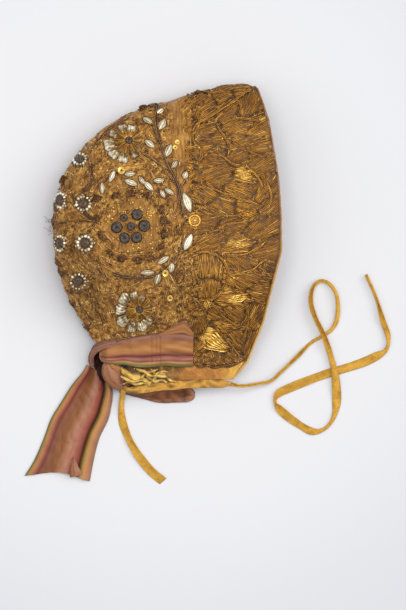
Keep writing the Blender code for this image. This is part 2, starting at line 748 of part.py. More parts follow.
def rosette_shape():
    """Five domed discs in a ring, on one thin back."""
    radius = ROSETTE_RING_RADIUS + ROSETTE_DISC_DIAMETER / 2
    radii = radius * np.array([1.0, 1.0, 0.90, 0.78, 0.66, 0.52, 0.38, 0.24, 0.06])
    rings = ringed(radii, radii * 0, 30)
    spots = np.radians(np.arange(5) * 72 + 62)
    centres = ROSETTE_RING_RADIUS * np.stack([np.cos(spots), np.sin(spots)], axis=-1)
    away = np.linalg.norm(rings[..., None, :2] - centres, axis=-1).min(axis=-1)
    dome = np.sqrt(np.clip(1 - (away / (ROSETTE_DISC_DIAMETER / 2)) ** 2, 0, 1))
    rings[..., 2] = ROSETTE_HEIGHT * (0.28 + 0.72 * dome)
    rings[0, :, 2] = 0
    rings[1, :, 2] = ROSETTE_HEIGHT * 0.28
    return rings


def sequin_shape(share, sides):
    """A round dished sequin with a bead at its middle."""
    radius = SEQUIN_DIAMETER / 2 * share
    radii = [radius, radius, radius * 0.75, radius * 0.45, radius * 0.2]
    heights = [0, SEQUIN_HEIGHT * 0.4, SEQUIN_HEIGHT * 0.3, SEQUIN_HEIGHT * 0.6, SEQUIN_HEIGHT]
    return ringed(radii, np.array(heights) * max(share, 0.6), sides)


def ornaments(cloth, parent):
    """Every raised ornament on the upper side of the crown."""
    ornament("rosette", rosette_shape(), ROSETTE_AT, 0, "dark_purl", cloth, parent)
    for name, motif in LARGE_FLOWERS.items():
        diameter = LARGE_FLOWER_DIAMETER * motif.size_share
        shape = flower_shape(diameter, LARGE_FLOWER_HEIGHT, 32, 8)
        ornament(name, shape, motif, 0, "silver", cloth, parent)
    for number, motif in enumerate(SMALL_FLOWERS, 1):
        diameter = SMALL_FLOWER_DIAMETER * motif.size_share
        shape = flower_shape(diameter, SMALL_FLOWER_HEIGHT, 12, 6)
        ornament(f"small_flower_{number}", shape, motif, 0, "silver", cloth, parent)
    for number, leaf in enumerate(LEAVES, 1):
        shape = leaf_shape(leaf.length_share)
        ornament(f"leaf_{number:02d}", shape, leaf, leaf.angle_deg, "silver", cloth, parent)
    for number, motif in enumerate(SEQUINS, 1):
        shape = sequin_shape(motif.size_share, 12 if number == 1 else 8)
        ornament(f"sequin_{number}", shape, motif, 0, "gold", cloth, parent)


def add_materials():
    """One Principled material for each row of MATERIALS."""
    for name, (colour, roughness, metallic) in MATERIALS.items():
        made = bpy.data.materials.new(name)
        made.use_nodes = True
        shader = made.node_tree.nodes["Principled BSDF"]
        shader.inputs["Base Color"].default_value = (*colour, 1)
        shader.inputs["Roughness"].default_value = roughness
        shader.inputs["Metallic"].default_value = metallic


def surface_of(made):
    """The surface of a finished piece, for seating ornaments on it."""
    bpy.context.view_layer.update()
    graph = bpy.context.evaluated_depsgraph_get()
    return BVHTree.FromObject(made, graph)


def main():
    for old in list(bpy.data.objects):
        bpy.data.objects.remove(old)
    add_materials()
    coif = bpy.data.objects.new("coif", None)
    bpy.context.scene.collection.objects.link(coif)
    cloth = [surface_of(front_band(coif)), surface_of(crown(coif))]
    front_binding(coif)
    neck_gathers(coif)
    neck_casing(coif)
    ribbon_knot(coif)
    ribbon_band(coif)
    lying_ribbon("ribbon_tail", TAIL, TAIL_START, RIBBON_WALL, TAIL_PLEATS, (22, 12), coif)
    lying_ribbon("ribbon_loop", LOOP, LOOP_START, LOOP_THICKNESS, LOOP_PLEATS, (14, 6), coif)
    tie("tie_right", TIE_RIGHT, coif)
    tie("tie_left", TIE_LEFT, coif)
    ornaments(cloth, coif)


main()
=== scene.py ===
"""Dressed model of an embroidered silk coif lying on its side, with its striped ribbon and neck tie.

Places on the coif are given on a working drawing seen from straight above, in units of
DRAWN_UNIT metres counted right and down from the drawing's upper left corner. The coif's own
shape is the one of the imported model: two sides that meet in a rounded fold, the lower one flat
on the floor and the upper one standing over the open hollow.
"""

import functools
import math
from collections import namedtuple

import bpy
import numpy as np
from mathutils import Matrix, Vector


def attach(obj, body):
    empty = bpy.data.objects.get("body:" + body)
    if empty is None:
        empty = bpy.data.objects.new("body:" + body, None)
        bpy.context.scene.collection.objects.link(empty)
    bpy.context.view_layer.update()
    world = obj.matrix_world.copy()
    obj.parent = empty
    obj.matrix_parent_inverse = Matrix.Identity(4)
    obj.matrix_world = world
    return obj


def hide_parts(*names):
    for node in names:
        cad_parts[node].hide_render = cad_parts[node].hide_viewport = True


bl_info = {
    "name": "Embroidered coif",
    "version": (1, 0, 0),
    "blender": (4, 5, 0),
    "location": "3D View > Sidebar > Coif",
    "description": "Builds the coif, its ribbon, its tie and the stage round the packed model",
    "category": "Add Mesh",
}

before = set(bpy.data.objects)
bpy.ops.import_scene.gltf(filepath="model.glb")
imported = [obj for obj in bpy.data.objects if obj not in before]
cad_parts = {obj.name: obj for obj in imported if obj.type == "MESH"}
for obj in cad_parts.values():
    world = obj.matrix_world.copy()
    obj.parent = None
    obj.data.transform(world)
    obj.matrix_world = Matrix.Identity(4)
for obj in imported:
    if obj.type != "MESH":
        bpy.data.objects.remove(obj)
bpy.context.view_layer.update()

# ---------------------------------------------------------------- the coif's shape, in metres

COIF_DEPTH = 0.165
COIF_HEIGHT = 0.220
LYING_HEIGHT = 0.057
ORIGIN_SHARE = 0.5
RIDGE_HEIGHT_SHARE = 0.45
FOLD_REACH = 0.044
DOME_SHARE = 0.08
DOME_REACH = 0.100
NECK_HEIGHT_SHARE = 0.42
NECK_REACH = 0.070
FRONT_SAG_SHARE = 0.10
FRONT_BULGE_SHARE = 0.13
BAND_WALL = 0.0022
CROWN_WALL = 0.0016
JOIN_GAP = 0.0004
SEWN_GAP = 0.0003
BINDING_WIDTH = 0.0024
BINDING_THICKNESS = 0.0028
CASING_WIDTH = 0.0062
CASING_THICKNESS = 0.0022
CASING_HEIGHT_SHARE = 0.30
GATHERS_WALL = 0.0010
TURN_RADIUS = 0.0045
KNOT_LENGTH = 0.0205
KNOT_WIDTH = 0.0190
KNOT_HEIGHT = 0.0205
CURVE_STEPS = 12
SLOPE_STEP, STEEPEST = 0.0002, 6
PLY_DEPTH = 0.34

DRAWN_UNIT = 0.00073
DRAWN_CENTRE = (167, 236)

# Shares of the depth from the back, and of the height from the ridge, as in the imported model
BAND_RIDGE = [(0.892, 0.012), (0.788, 0.005), (0.681, 0.023), (0.611, 0.036)]
CROWN_RIDGE = [
    (0.504, 0.061), (0.398, 0.083), (0.292, 0.118), (0.186, 0.175), (0.102, 0.245), (0.044, 0.32),
    (0.013, 0.407), (0.007, 0.497), (0.022, 0.586), (0.058, 0.679), (0.111, 0.755), (0.168, 0.828),
]
BAND_NECK = [(0.845, 0.914), (0.721, 0.930), (0.615, 0.920)]
CROWN_NECK = [(0.491, 0.914), (0.358, 0.901), (0.221, 0.884)]
FRONT = [
    (0, 0), (0.12, 0.42), (0.23, 0.63), (0.34, 0.84), (0.47, 0.95), (0.6, 1), (0.7, 0.78),
    (0.85, 0.49), (1, 0),
]
CASING = [(0.336, 0.996), (0.407, 0.99), (0.5, 0.982), (0.646, 0.975), (0.779, 0.975)]
CASING_UNDER_SHARE = 0.949
TURN_NECK_SHARE = 0.336


# ------------------------------------------------------------------------- shape functions


def plan(depth_share, height_share):
    """X and Y from shares of the coif's depth and height."""
    x = (np.asarray(depth_share, float) - ORIGIN_SHARE) * COIF_DEPTH
    y = (ORIGIN_SHARE - np.asarray(height_share, float)) * COIF_HEIGHT
    return np.stack(np.broadcast_arrays(x, y), axis=-1)


def drawn(places):
    """X and Y of places given on the drawing: units right and down from its corner."""
    places = np.asarray(places, float)
    offset = (places[..., :2] - DRAWN_CENTRE) * DRAWN_UNIT
    return offset * [1, -1]


def drawing_column(place):
    """The drawing's column of each place."""
    return place[..., 0] / DRAWN_UNIT + DRAWN_CENTRE[0]


def drawing_row(place):
    """The drawing's row of each place."""
    return DRAWN_CENTRE[1] - place[..., 1] / DRAWN_UNIT


def round_steps(count):
    """Equal steps round a circle, in radians."""
    return np.arange(count) * 2 * math.pi / count


def oval(angle, wide=1.0, tall=1.0):
    """Points round an oval: the cosine and sine of each angle, times its half width and height."""
    return np.stack([np.cos(angle) * wide, np.sin(angle) * tall], axis=-1)


def eased(share):
    """0 to 1 with a level start and end: three times the square less twice the cube."""
    share = np.clip(share, 0, 1)
    return share * share * (3 - 2 * share)


def blend(start, end, share):
    """The point at this share of the way from start to end."""
    return start + (end - start) * share


def unit(vectors):
    """The vectors at a length of 1."""
    return vectors / np.maximum(np.linalg.norm(vectors, axis=-1, keepdims=True), 1e-12)


def through(points):
    """A smooth curve through the points: each span is a cubic that leaves and meets its points
    along the line between their neighbours."""
    points = np.asarray(points, float)
    first, last = 2 * points[0] - points[1], 2 * points[-1] - points[-2]
    before, after = np.vstack([first, points[:-2]]), np.vstack([points[2:], last])
    step = np.linspace(0, 1, CURVE_STEPS, endpoint=False)[None, :, None]
    start, end = points[:-1, None], points[1:, None]
    before, after = before[:, None], after[:, None]
    bend = 2 * before - 5 * start + 4 * end - after
    twist = -before + 3 * start - 3 * end + after
    curve = start + 0.5 * ((end - before) * step + bend * step**2 + twist * step**3)
    return np.vstack([curve.reshape(-1, points.shape[1]), points[-1]])


def travelled(curve):
    """How far along the curve each of its points lies."""
    steps = np.linalg.norm(np.diff(curve, axis=0), axis=1)
    return np.concatenate([[0.0], np.cumsum(steps)])


def point_along(curve, lengths):
    """The curve's points at these lengths from its start."""
    along = travelled(curve)
    return np.stack([np.interp(lengths, along, column) for column in curve.T], axis=-1)


def evenly(curve, count):
    """This many points, evenly spaced along the curve."""
    return point_along(curve, np.linspace(0, travelled(curve)[-1], count))


RIDGE_CURVE = through(plan(*np.transpose(BAND_RIDGE + CROWN_RIDGE)))
NECK_CURVE = through(plan(*np.transpose(BAND_NECK + CROWN_NECK)))


def neck_line(x):
    """Y of the neck edge, seen from above, at each X."""
    return np.interp(x, *NECK_CURVE[::-1].T)


def edge_at(curve, band_rows, hoop):
    """An edge's points at these hoops: -1 is the front, 0 the seam and 1 the nape."""
    along = travelled(curve)
    seam = along[(len(band_rows) - 1) * CURVE_STEPS]
    lengths = np.where(hoop < 0, seam * (1 + hoop), blend(seam, along[-1], hoop))
    return point_along(curve, lengths)


def side_plan(hoop, from_ridge):
    """X and Y on a side: a straight line from the ridge to the neck, bowed forward on the band."""
    ridge = edge_at(RIDGE_CURVE, BAND_RIDGE, hoop)
    neck = edge_at(NECK_CURVE, BAND_NECK, hoop)
    place = blend(ridge, neck, from_ridge[..., None])
    bulge = np.interp(from_ridge, *np.transpose(FRONT)) * FRONT_BULGE_SHARE * COIF_DEPTH
    place[..., 0] += bulge * np.clip(-hoop, 0, 1)
    return place


def ridge_distance(place):
    """How far each place lies from the closed edge, seen from above."""
    start, end = RIDGE_CURVE[:-1], RIDGE_CURVE[1:]
    run = end - start
    flat = place.reshape(-1, 2)
    found = []
    for some in np.array_split(flat, max(1, len(flat) // 8000)):
        offset = some[:, None, :] - start
        share = np.clip((offset * run).sum(-1) / (run * run).sum(-1), 0, 1)
        found.append(np.linalg.norm(offset - share[..., None] * run, axis=-1).min(axis=-1))
    return np.concatenate(found).reshape(place.shape[:-1])


def side_heights(place, wall):
    """Heights of the middle of the upper and of the lower side's wall: a quarter round over
    FOLD_REACH from the ridge, with a slower dome on the upper side, drawn down at the neck."""
    reach = ridge_distance(place)
    round_part = np.sqrt(1 - (1 - np.clip(reach / FOLD_REACH, 0, 1)) ** 2)
    rise = (1 - DOME_SHARE) * round_part + DOME_SHARE * eased(reach / DOME_REACH)
    from_neck = np.clip((place[..., 1] - neck_line(place[..., 0])) / NECK_REACH, 0, 1)
    drawn_in = blend(NECK_HEIGHT_SHARE, 1, eased(from_neck))
    front = plan([BAND_RIDGE[-1][0], 1], [0, 0])[:, 0]
    sag = FRONT_SAG_SHARE * eased((place[..., 0] - front[0]) / (front[1] - front[0]))
    ridge = RIDGE_HEIGHT_SHARE * LYING_HEIGHT * drawn_in
    top = (LYING_HEIGHT - wall / 2) * drawn_in * (1 - sag)
    return blend(ridge, top, rise), blend(ridge, wall / 2, round_part)


def on_cloth(place, lift, upper=True):
    """Points this far outside the coif's outer face at these places, and that face's normals."""
    spots = np.stack([place, place + [SLOPE_STEP, 0], place + [0, SLOPE_STEP]])
    heights = side_heights(spots, CROWN_WALL)[0 if upper else 1]
    slope = np.clip((heights[1:] - heights[0]) / SLOPE_STEP, -STEEPEST, STEEPEST)
    normal = unit(np.stack([-slope[0], -slope[1], np.ones_like(slope[0])], axis=-1))
    normal = normal if upper else -normal
    middle = np.concatenate([place, heights[0][..., None]], axis=-1)
    lift = np.asarray(lift, float)
    return middle + normal * (CROWN_WALL / 2 + lift[..., None]), normal


def inside(places, outline):
    """Which places lie inside a closed outline: a ray to the right crosses it an odd number of
    times."""
    x, y = places[..., 0, None], places[..., 1, None]
    start, end = outline, np.roll(outline, -1, axis=0)
    spans = (start[:, 1] > y) != (end[:, 1] > y)
    rise = end[:, 1] - start[:, 1]
    crossing = start[:, 0] + (y - start[:, 1]) * (end[:, 0] - start[:, 0]) / np.where(rise, rise, 1)
    return ((spans & (x < crossing)).sum(axis=-1) % 2) == 1


def shell_outline(first_hoop, last_hoop, ragged=0.0):
    """The outline of a shell seen from above, between two hoops, the last one wavy."""
    hoops, down = np.linspace(first_hoop, last_hoop, 60), np.linspace(0, 1, 40)
    ridge = side_plan(hoops, np.zeros_like(hoops))
    last = side_plan(last_hoop + ragged * np.sin(down * 47) * np.cos(down * 19), down)
    neck = side_plan(hoops[::-1], np.ones_like(hoops))
    first = side_plan(np.full_like(down, first_hoop), down[::-1])
    return np.vstack([ridge, last, neck, first])


BAND_OUTLINE = shell_outline(-1, 0)
BAND_WORK_OUTLINE = shell_outline(-1, 0.030, 0.035)
CROWN_OUTLINE = shell_outline(0, 1)


def mottle(points, grain, seed, waves=10):
    """A smooth unevenness of about 1 either way: the mean of plane waves in seeded directions,
    whose lengths lie round the grain."""
    random = np.random.default_rng(seed)
    aim = unit(random.normal(size=(waves, points.shape[-1])))
    pace = 2 * math.pi / (grain * random.uniform(0.7, 1.5, waves))
    phase = random.uniform(0, 2 * math.pi, waves)
    return np.sin((points @ aim.T) * pace + phase).sum(axis=-1) / math.sqrt(waves / 2)


# --------------------------------------------------------------------------- making meshes


def quad_grid(rows, columns, round_columns=False):
    """Corner numbers of the quads of a grid of points, joined round its columns if asked."""
    corner = np.arange(rows * columns).reshape(rows, columns)
    if round_columns:
        corner = np.hstack([corner, corner[:, :1]])
    quads = np.stack([corner[:-1, :-1], corner[1:, :-1], corner[1:, 1:], corner[:-1, 1:]], -1)
    return quads.reshape(-1, 4)


def one_grid(points, turned=False):
    """A grid of points, (rows, columns, 3), as a shape. Turned, its faces look the other way."""
    quads = quad_grid(*points.shape[:2])
    return points.reshape(-1, 3), [quads[:, ::-1] if turned else quads]


def many_grids(points, round_columns=False, capped=False):
    """Points and faces of many grids of one size, (count, rows, columns, 3), as one shape."""
    count, rows, columns = points.shape[:3]
    quads = quad_grid(rows, columns, round_columns)
    first = np.arange(count) * rows * columns
    faces = [(first[:, None, None] + quads).reshape(-1, 4)]
    if capped:
        faces = [faces[0][:, ::-1]]
        start = np.arange(columns)[::-1]
        end = np.arange(columns) + (rows - 1) * columns
        faces.append(np.vstack([first[:, None] + end, first[:, None] + start]))
    return points.reshape(-1, 3), faces


def closed_grids(points):
    """Many grids of one size, each joined round its columns and capped at its ends."""
    return many_grids(points, round_columns=True, capped=True)


def tubes(paths, normals, radii, sides, twist=None):
    """Round threads: a ring of points stands square to each path. Paths are (count, steps, 3).
    With a twist, in radians along the path, two plies swell the ring and turn with it."""
    ahead = unit(np.gradient(paths, axis=1))
    side = unit(np.cross(normals, ahead))
    up = np.cross(ahead, side)
    angle = round_steps(sides)
    radii = np.broadcast_to(radii, paths.shape[:2])[:, :, None]
    if twist is not None:
        radii = radii * (1 + PLY_DEPTH * np.cos(2 * (angle - twist[..., None])))
    wide = (radii * np.cos(angle))[..., None] * side[:, :, None]
    tall = (radii * np.sin(angle))[..., None] * up[:, :, None]
    return closed_grids(paths[:, :, None] + wide + tall)


def stamped(template, faces, places, normals, turns, sizes):
    """Copies of a small shape. Each is turned about its normal, sized and set at its place."""
    aim = np.stack([np.cos(turns), np.sin(turns), np.zeros_like(turns)], axis=-1)
    along = unit(aim - (aim * normals).sum(-1, keepdims=True) * normals)
    side = np.cross(normals, along)
    local = template[None] * sizes[:, None, :]
    points = (
        places[:, None]
        + local[..., :1] * along[:, None]
        + local[..., 1:2] * side[:, None]
        + local[..., 2:] * normals[:, None]
    )
    first = np.arange(len(places)) * len(template)
    return points.reshape(-1, 3), [
        (first[:, None, None] + group).reshape(-1, group.shape[1]) for group in faces
    ]


def upwards(path):
    """A vector straight up for each point of the paths."""
    return np.broadcast_to([0.0, 0.0, 1.0], path.shape)


def bead_shape(sides=8, rings=4):
    """A ball of radius 1: rings of points between two poles."""
    lean = np.linspace(0, math.pi, rings + 2)[1:-1, None]
    turn = round_steps(sides)
    middle = np.stack(
        [np.sin(lean) * np.cos(turn), np.sin(lean) * np.sin(turn), np.cos(lean) + 0 * turn], -1
    ).reshape(-1, 3)
    points = np.vstack([middle, [[0, 0, 1], [0, 0, -1]]])
    quads = quad_grid(rings, sides, True)
    ring = np.arange(sides)
    beside = np.roll(ring, -1)
    top = np.stack([ring, beside, np.full(sides, rings * sides)], -1)
    low = (rings - 1) * sides
    foot = np.stack([low + beside, low + ring, np.full(sides, rings * sides + 1)], -1)
    return points, [quads, top, foot]


def joined(*shapes):
    """Several shapes as one, each given as its points and its groups of faces."""
    points, faces, first = [], [], 0
    for some, groups in shapes:
        points.append(some)
        faces.extend(group + first for group in groups)
        first += len(some)
    return np.vstack(points), faces


def made_piece(name, shape, finish, slot, nodes=(), wall=None, offset=-1.0, **marks):
    """A piece from points and groups of faces. Marks are values on its points, or one for all,
    that its finish reads; cloth is the one with three numbers a point. With a wall, the points
    are one face of a cloth of that thickness."""
    points, groups = shape
    mesh = bpy.data.meshes.new(name)
    sizes = np.concatenate([np.full(len(group), group.shape[1]) for group in groups])
    corners = np.concatenate([group.ravel() for group in groups])
    mesh.vertices.add(len(points))
    mesh.vertices.foreach_set("co", points.astype(np.float32).ravel())
    mesh.loops.add(len(corners))
    mesh.loops.foreach_set("vertex_index", corners.astype(np.int32))
    mesh.polygons.add(len(sizes))
    starts = np.concatenate([[0], np.cumsum(sizes)[:-1]])
    mesh.polygons.foreach_set("loop_start", starts.astype(np.int32))
    mesh.update(calc_edges=True)
    mesh.validate()
    for mark, values in marks.items():
        kind, field, size = ("FLOAT_VECTOR", "vector", 3) if mark == "cloth" else ("FLOAT", "value", 1)
        spread = np.broadcast_to(np.ravel(values), len(points) * size)
        made = mesh.attributes.new(mark, kind, "POINT")
        made.data.foreach_set(field, np.ascontiguousarray(spread, np.float32))
    mesh.shade_smooth()
    mesh.materials.append(finish)
    piece = bpy.data.objects.new(name, mesh)
    bpy.context.scene.collection.objects.link(piece)
    if wall:
        solid = piece.modifiers.new("wall", "SOLIDIFY")
        solid.thickness = wall
        solid.offset = offset
    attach(piece, "root")
    if nodes:
        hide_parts(*nodes)
    return piece


# --------------------------------------------------------------------------- finishes


def tint(red, green, blue):
    """A colour from its screen values, 0 to 255, as linear light."""
    share = np.array([red, green, blue]) / 255
    linear = np.where(share <= 0.04045, share / 12.92, ((share + 0.055) / 1.055) ** 2.4)
    return (*linear.tolist(), 1.0)


class Field:
    """A value that varies over a surface: the socket that it comes from, with arithmetic."""

    def __init__(self, finish, socket):
        self.finish, self.socket = finish, socket

    def worked(self, operation, *others, clamp=False):
        inputs = dict(enumerate([self, *others]))
        settings = {"operation": operation, "use_clamp": clamp}
        return self.finish.node("ShaderNodeMath", settings, inputs)

    def __add__(self, other):
        return self.worked("ADD", other)

    def __sub__(self, other):
        return self.worked("SUBTRACT", other)

    def __mul__(self, other):
        return self.worked("MULTIPLY", other)

    def __rsub__(self, other):
        return self.finish.node("ShaderNodeMath", {"operation": "SUBTRACT"}, {0: other, 1: self})

    __radd__, __rmul__ = __add__, __mul__

    def sine(self):
        return self.worked("SINE")

    def clipped(self):
        return self.worked("ADD", 0.0, clamp=True)

    def between(self, low, high):
        """0 below low, 1 above high and eased between them."""
        settings = {"interpolation_type": "SMOOTHSTEP"}
        return self.finish.node(
            "ShaderNodeMapRange", settings, {"Value": self, "From Min": low, "From Max": high}
        )


class Finish:
    """One material: its shader, whose constant sockets are set here, and the nodes that feed it."""

    def __init__(self, name, **constants):
        self.material = bpy.data.materials.new(name)
        self.material.use_nodes = True
        self.nodes = self.material.node_tree.nodes
        self.links = self.material.node_tree.links
        self.shader = self.nodes["Principled BSDF"]
        for socket, value in constants.items():
            self.shader.inputs[socket.replace("_", " ")].default_value = value

    def node(self, kind, settings=None, inputs=None, output=0):
        """A node of this kind, with its settings first, then its sockets' values or links."""
        made = self.nodes.new(kind)
        for key, value in (settings or {}).items():
            if key == "stops":
                self.set_stops(made.color_ramp, value)
            else:
                setattr(made, key, value)
        for key, value in (inputs or {}).items():
            self.put(made.inputs[key], value)
        return Field(self, made.outputs[output])

    def put(self, socket, value):
        if isinstance(value, Field):
            self.links.new(value.socket, socket)
        else:
            socket.default_value = value

    @staticmethod
    def set_stops(ramp, stops):
        while len(ramp.elements) < len(stops):
            ramp.elements.new(0.5)
        for element, (place, *colour) in zip(ramp.elements, stops):
            element.position = place
            element.color = tint(*colour)

    def mark(self, name, output=2):
        """A value stored on the piece's points; output 1 is a vector, 2 a number."""
        return self.node("ShaderNodeAttribute", {"attribute_name": name}, output=output)

    def place(self):
        return self.node("ShaderNodeTexCoord", output=3)

    def noise(self, scale, detail=3.0, vector=None):
        inputs = {"Vector": vector or self.place(), "Scale": scale, "Detail": detail}
        return self.node("ShaderNodeTexNoise", None, inputs)

    def part(self, vector, axis):
        """One of the three numbers of a vector: 0, 1 or 2."""
        return self.node("ShaderNodeSeparateXYZ", None, {0: vector}, output=axis)

    def mixed(self, share, first, second):
        settings = {"data_type": "RGBA"}
        return self.node("ShaderNodeMix", settings, {0: share, 6: first, 7: second}, output=2)

    def shaded(self, colour, share):
        """A colour multiplied by a grey: one number for its three channels."""
        grey = self.node("ShaderNodeCombineColor", None, {0: share, 1: share, 2: share})
        settings = {"data_type": "RGBA", "blend_type": "MULTIPLY"}
        return self.node("ShaderNodeMix", settings, {0: 1.0, 6: colour, 7: grey}, output=2)

    def ramp(self, share, stops):
        return self.node("ShaderNodeValToRGB", {"stops": stops}, {0: share})

    def feed(self, socket, value):
        self.put(self.shader.inputs[socket], value)

    def done(self, colour, rough, height=None, distance=0.0, strength=1.0, metal=None):
        """The material, once what varies over it is fed: its bump has a depth in metres."""
        self.feed("Base Color", colour)
        self.feed("Roughness", rough)
        if metal is not None:
            self.feed("Metallic", metal)
        if height is not None:
            inputs = {"Strength": strength, "Distance": distance, "Height": height}
            self.feed("Normal", self.node("ShaderNodeBump", None, inputs))
        return self.material

    def in_folds(self, fold_shade, rest):
        """Painted shade in folds and hollows: the fold mark times the painted shade's strength, over
        the rest.
        """
        return (self.mark("fold") * fold_shade + rest).clipped()

    def weave(self, scale):
        """A plain weave: the product of two sines, along X and along Y."""
        place = self.place()
        return (self.part(place, 0) * scale).sine() * (self.part(place, 1) * scale).sine()


def silk_finish(name, stops, weave, sheen, rough, fold_shade, thread_scale=1500.0):
    """Silk cloth: its colours run over soft patches, with painted shade in its folds by its fold mark,
    and a fine weave.
    """
    made = Finish(name, Sheen_Weight=sheen, Sheen_Roughness=0.4, Specular_IOR_Level=0.3)
    patches = made.noise(130.0, 4.0) * 0.6 + made.noise(520.0, 3.0) * 0.4
    colour = made.shaded(made.ramp(patches, stops), made.in_folds(fold_shade, 1 - fold_shade))
    height = made.weave(thread_scale) * weave + made.noise(900.0, 2.0) * (1 - weave)
    return made.done(colour, made.noise(300.0) * 0.2 + rough, height, 0.0002, 0.5)


def thread_finish(name, stops, metal, rough, grain=2600.0):
    """Metal thread: each thread's own tone through the stops, with wear and a wound surface."""
    made = Finish(name, Specular_IOR_Level=0.5)
    speckle = made.noise(1250.0, 2.0) * 0.5 + made.noise(340.0, 3.0) * 0.35
    tone = made.mark("tone") * 0.72 + speckle - 0.27
    worn = made.noise(700.0, 2.0).between(0.35, 0.7)
    return made.done(
        made.ramp(tone.clipped(), stops), made.noise(900.0, 2.0) * 0.25 + rough,
        made.noise(grain, 2.0), 0.00015, 0.7, worn * (metal * 0.5) + metal * 0.5,
    )


def ribbon_finish(name, stops, fold_shade, sheen=0.15):
    """Striped ribbon: its stripes run along it, cloth's first number being the share across, with fine
    ribs across it, a little wear and painted shade in its folds by its fold mark."""
    made = Finish(name, Sheen_Weight=sheen, Sheen_Roughness=0.35, Specular_IOR_Level=sheen + 0.1)
    cloth = made.mark("cloth", output=1)
    across, along = made.part(cloth, 0), made.part(cloth, 1)
    wander = (made.noise(60.0, 2.0) - 0.5) * 0.03
    colour = made.ramp(across + wander, stops)
    streaks = made.node(
        "ShaderNodeCombineXYZ", None, {0: across * 140.0, 1: along * 40.0, 2: 0.0}
    )
    streak = made.noise(1.0, 3.0, streaks)
    # Painted shade: the fold mark darkens the stripes where it is low; the streaks are the ribbon's own
    # uneven tone.
    light = (streak * 0.35 + 0.82) * made.in_folds(fold_shade, 1 - fold_shade)
    ribs = (along * 9500.0).sine() * 0.5 + made.noise(700.0, 2.0)
    return made.done(made.shaded(colour, light), streak * 0.2 + 0.42, ribs, 0.00012, 0.45)


def floor_finish():
    """The pale floor: a slightly patchy grey, darker away from its middle as painted falloff of the
    light.
    """
    made = Finish("pale_floor", Specular_IOR_Level=0.15)
    tone = made.noise(3.0, 2.0)
    place = made.place()
    across, down = made.part(place, 0), made.part(place, 1)
    away = (across * across + down * down).between(0.02, 0.10)
    pale = made.mixed(tone, tint(214, 214, 216), tint(218, 217, 219))
    return made.done(made.mixed(away, pale, tint(205, 205, 208)), made.noise(90.0) * 0.1 + 0.8)


# ------------------------------------------------------------------------------- the stage

CAMERA_HEIGHT = 3.0
VIEW_CENTRE = (203, 305)
VIEW_UNITS = 610
SENSOR = 36.0
SHARP_HEIGHT = 0.015
FLOOR_REACH, FLOOR_FLAT, FLOOR_CURL, FLOOR_DROP = 4.0, 2.0, 0.12, 0.00002
SKY_COLOUR = (0.93, 0.96, 1.0, 1.0)
LIGHT_TARGET = (0.03, -0.03, 0.0)
# Each light's name and kind, its place, its size, its share of the key's setting and its colour
LIGHTS = [
    ("key", "SUN", (1.5, 0.5, 1.65), 0.80, 0.068, (1.0, 0.985, 0.965)),
    ("fill", "AREA", (-1.0, -0.2, 2.1), 1.4, 0.25, (0.96, 0.98, 1.0)),
    ("overhead", "AREA", (0.05, 0.25, 2.6), 1.4, 2.06, (1.0, 1.0, 1.0)),
]


def add_light(name, kind, place, size, power, colour):
    """A soft light at a place, turned to the coif: a square one of this size in metres, or a
    far one that spreads over this angle in radians."""
    lamp = bpy.data.lights.new(name, kind)
    if kind == "SUN":
        lamp.angle = size
    else:
        lamp.shape = "SQUARE"
        lamp.size = size
    lamp.energy = power
    lamp.color = colour
    made = bpy.data.objects.new(name, lamp)
    made.location = place
    aim = Vector(LIGHT_TARGET) - Vector(place)
    made.rotation_euler = aim.to_track_quat("-Z", "Y").to_euler()
    bpy.context.scene.collection.objects.link(made)


def add_camera():
    """A camera straight above the drawing's view, whose long side covers VIEW_UNITS."""
    lens = bpy.data.cameras.new("camera")
    lens.sensor_width = SENSOR
    lens.lens = SENSOR * (CAMERA_HEIGHT - SHARP_HEIGHT) / (VIEW_UNITS * DRAWN_UNIT)
    lens.clip_end = 20.0
    camera = bpy.data.objects.new("camera", lens)
    x, y = drawn(VIEW_CENTRE)
    camera.location = (x, y, CAMERA_HEIGHT)
    bpy.context.scene.collection.objects.link(camera)
    bpy.context.scene.camera = camera


def add_floor():
    """A wide pale floor that curls up far away: height grows with the distance's square."""
    reach = np.linspace(-1, 1, 41) * FLOOR_REACH
    x, y = np.meshgrid(reach, reach, indexing="ij")
    away = np.clip(np.hypot(x, y) - FLOOR_FLAT, 0, None)
    points, (quads,) = one_grid(np.stack([x, y, FLOOR_CURL * away**2 - FLOOR_DROP], axis=-1))
    mesh = bpy.data.meshes.new("floor")
    mesh.from_pydata(points.tolist(), [], quads.tolist())
    mesh.shade_smooth()
    mesh.materials.append(floor_finish())
    floor = bpy.data.objects.new("floor", mesh)
    bpy.context.scene.collection.objects.link(floor)


def build_stage(settings):
    """The camera, the floor, a soft key light from the right, a weaker fill and a pale sky."""
    add_camera()
    add_floor()
    for name, kind, place, size, share, colour in LIGHTS:
        add_light(name, kind, place, size, settings.light_power * share, colour)
    world = bpy.data.worlds.new("sky")
    world.use_nodes = True
    sky = world.node_tree.nodes["Background"]
    sky.inputs["Color"].default_value = SKY_COLOUR
    sky.inputs["Strength"].default_value = settings.sky_light
    bpy.context.scene.world = world
    bpy.context.scene.view_settings.view_transform = "Standard"


# ---------------------------------------------------------------------------- the neck tie

TIE_WALL = 0.00035
TIE_LIFT = 0.00030
CORD_RADIUS = 0.0012
SECTION_STEPS = 12
TIE_SPACING = 0.0016

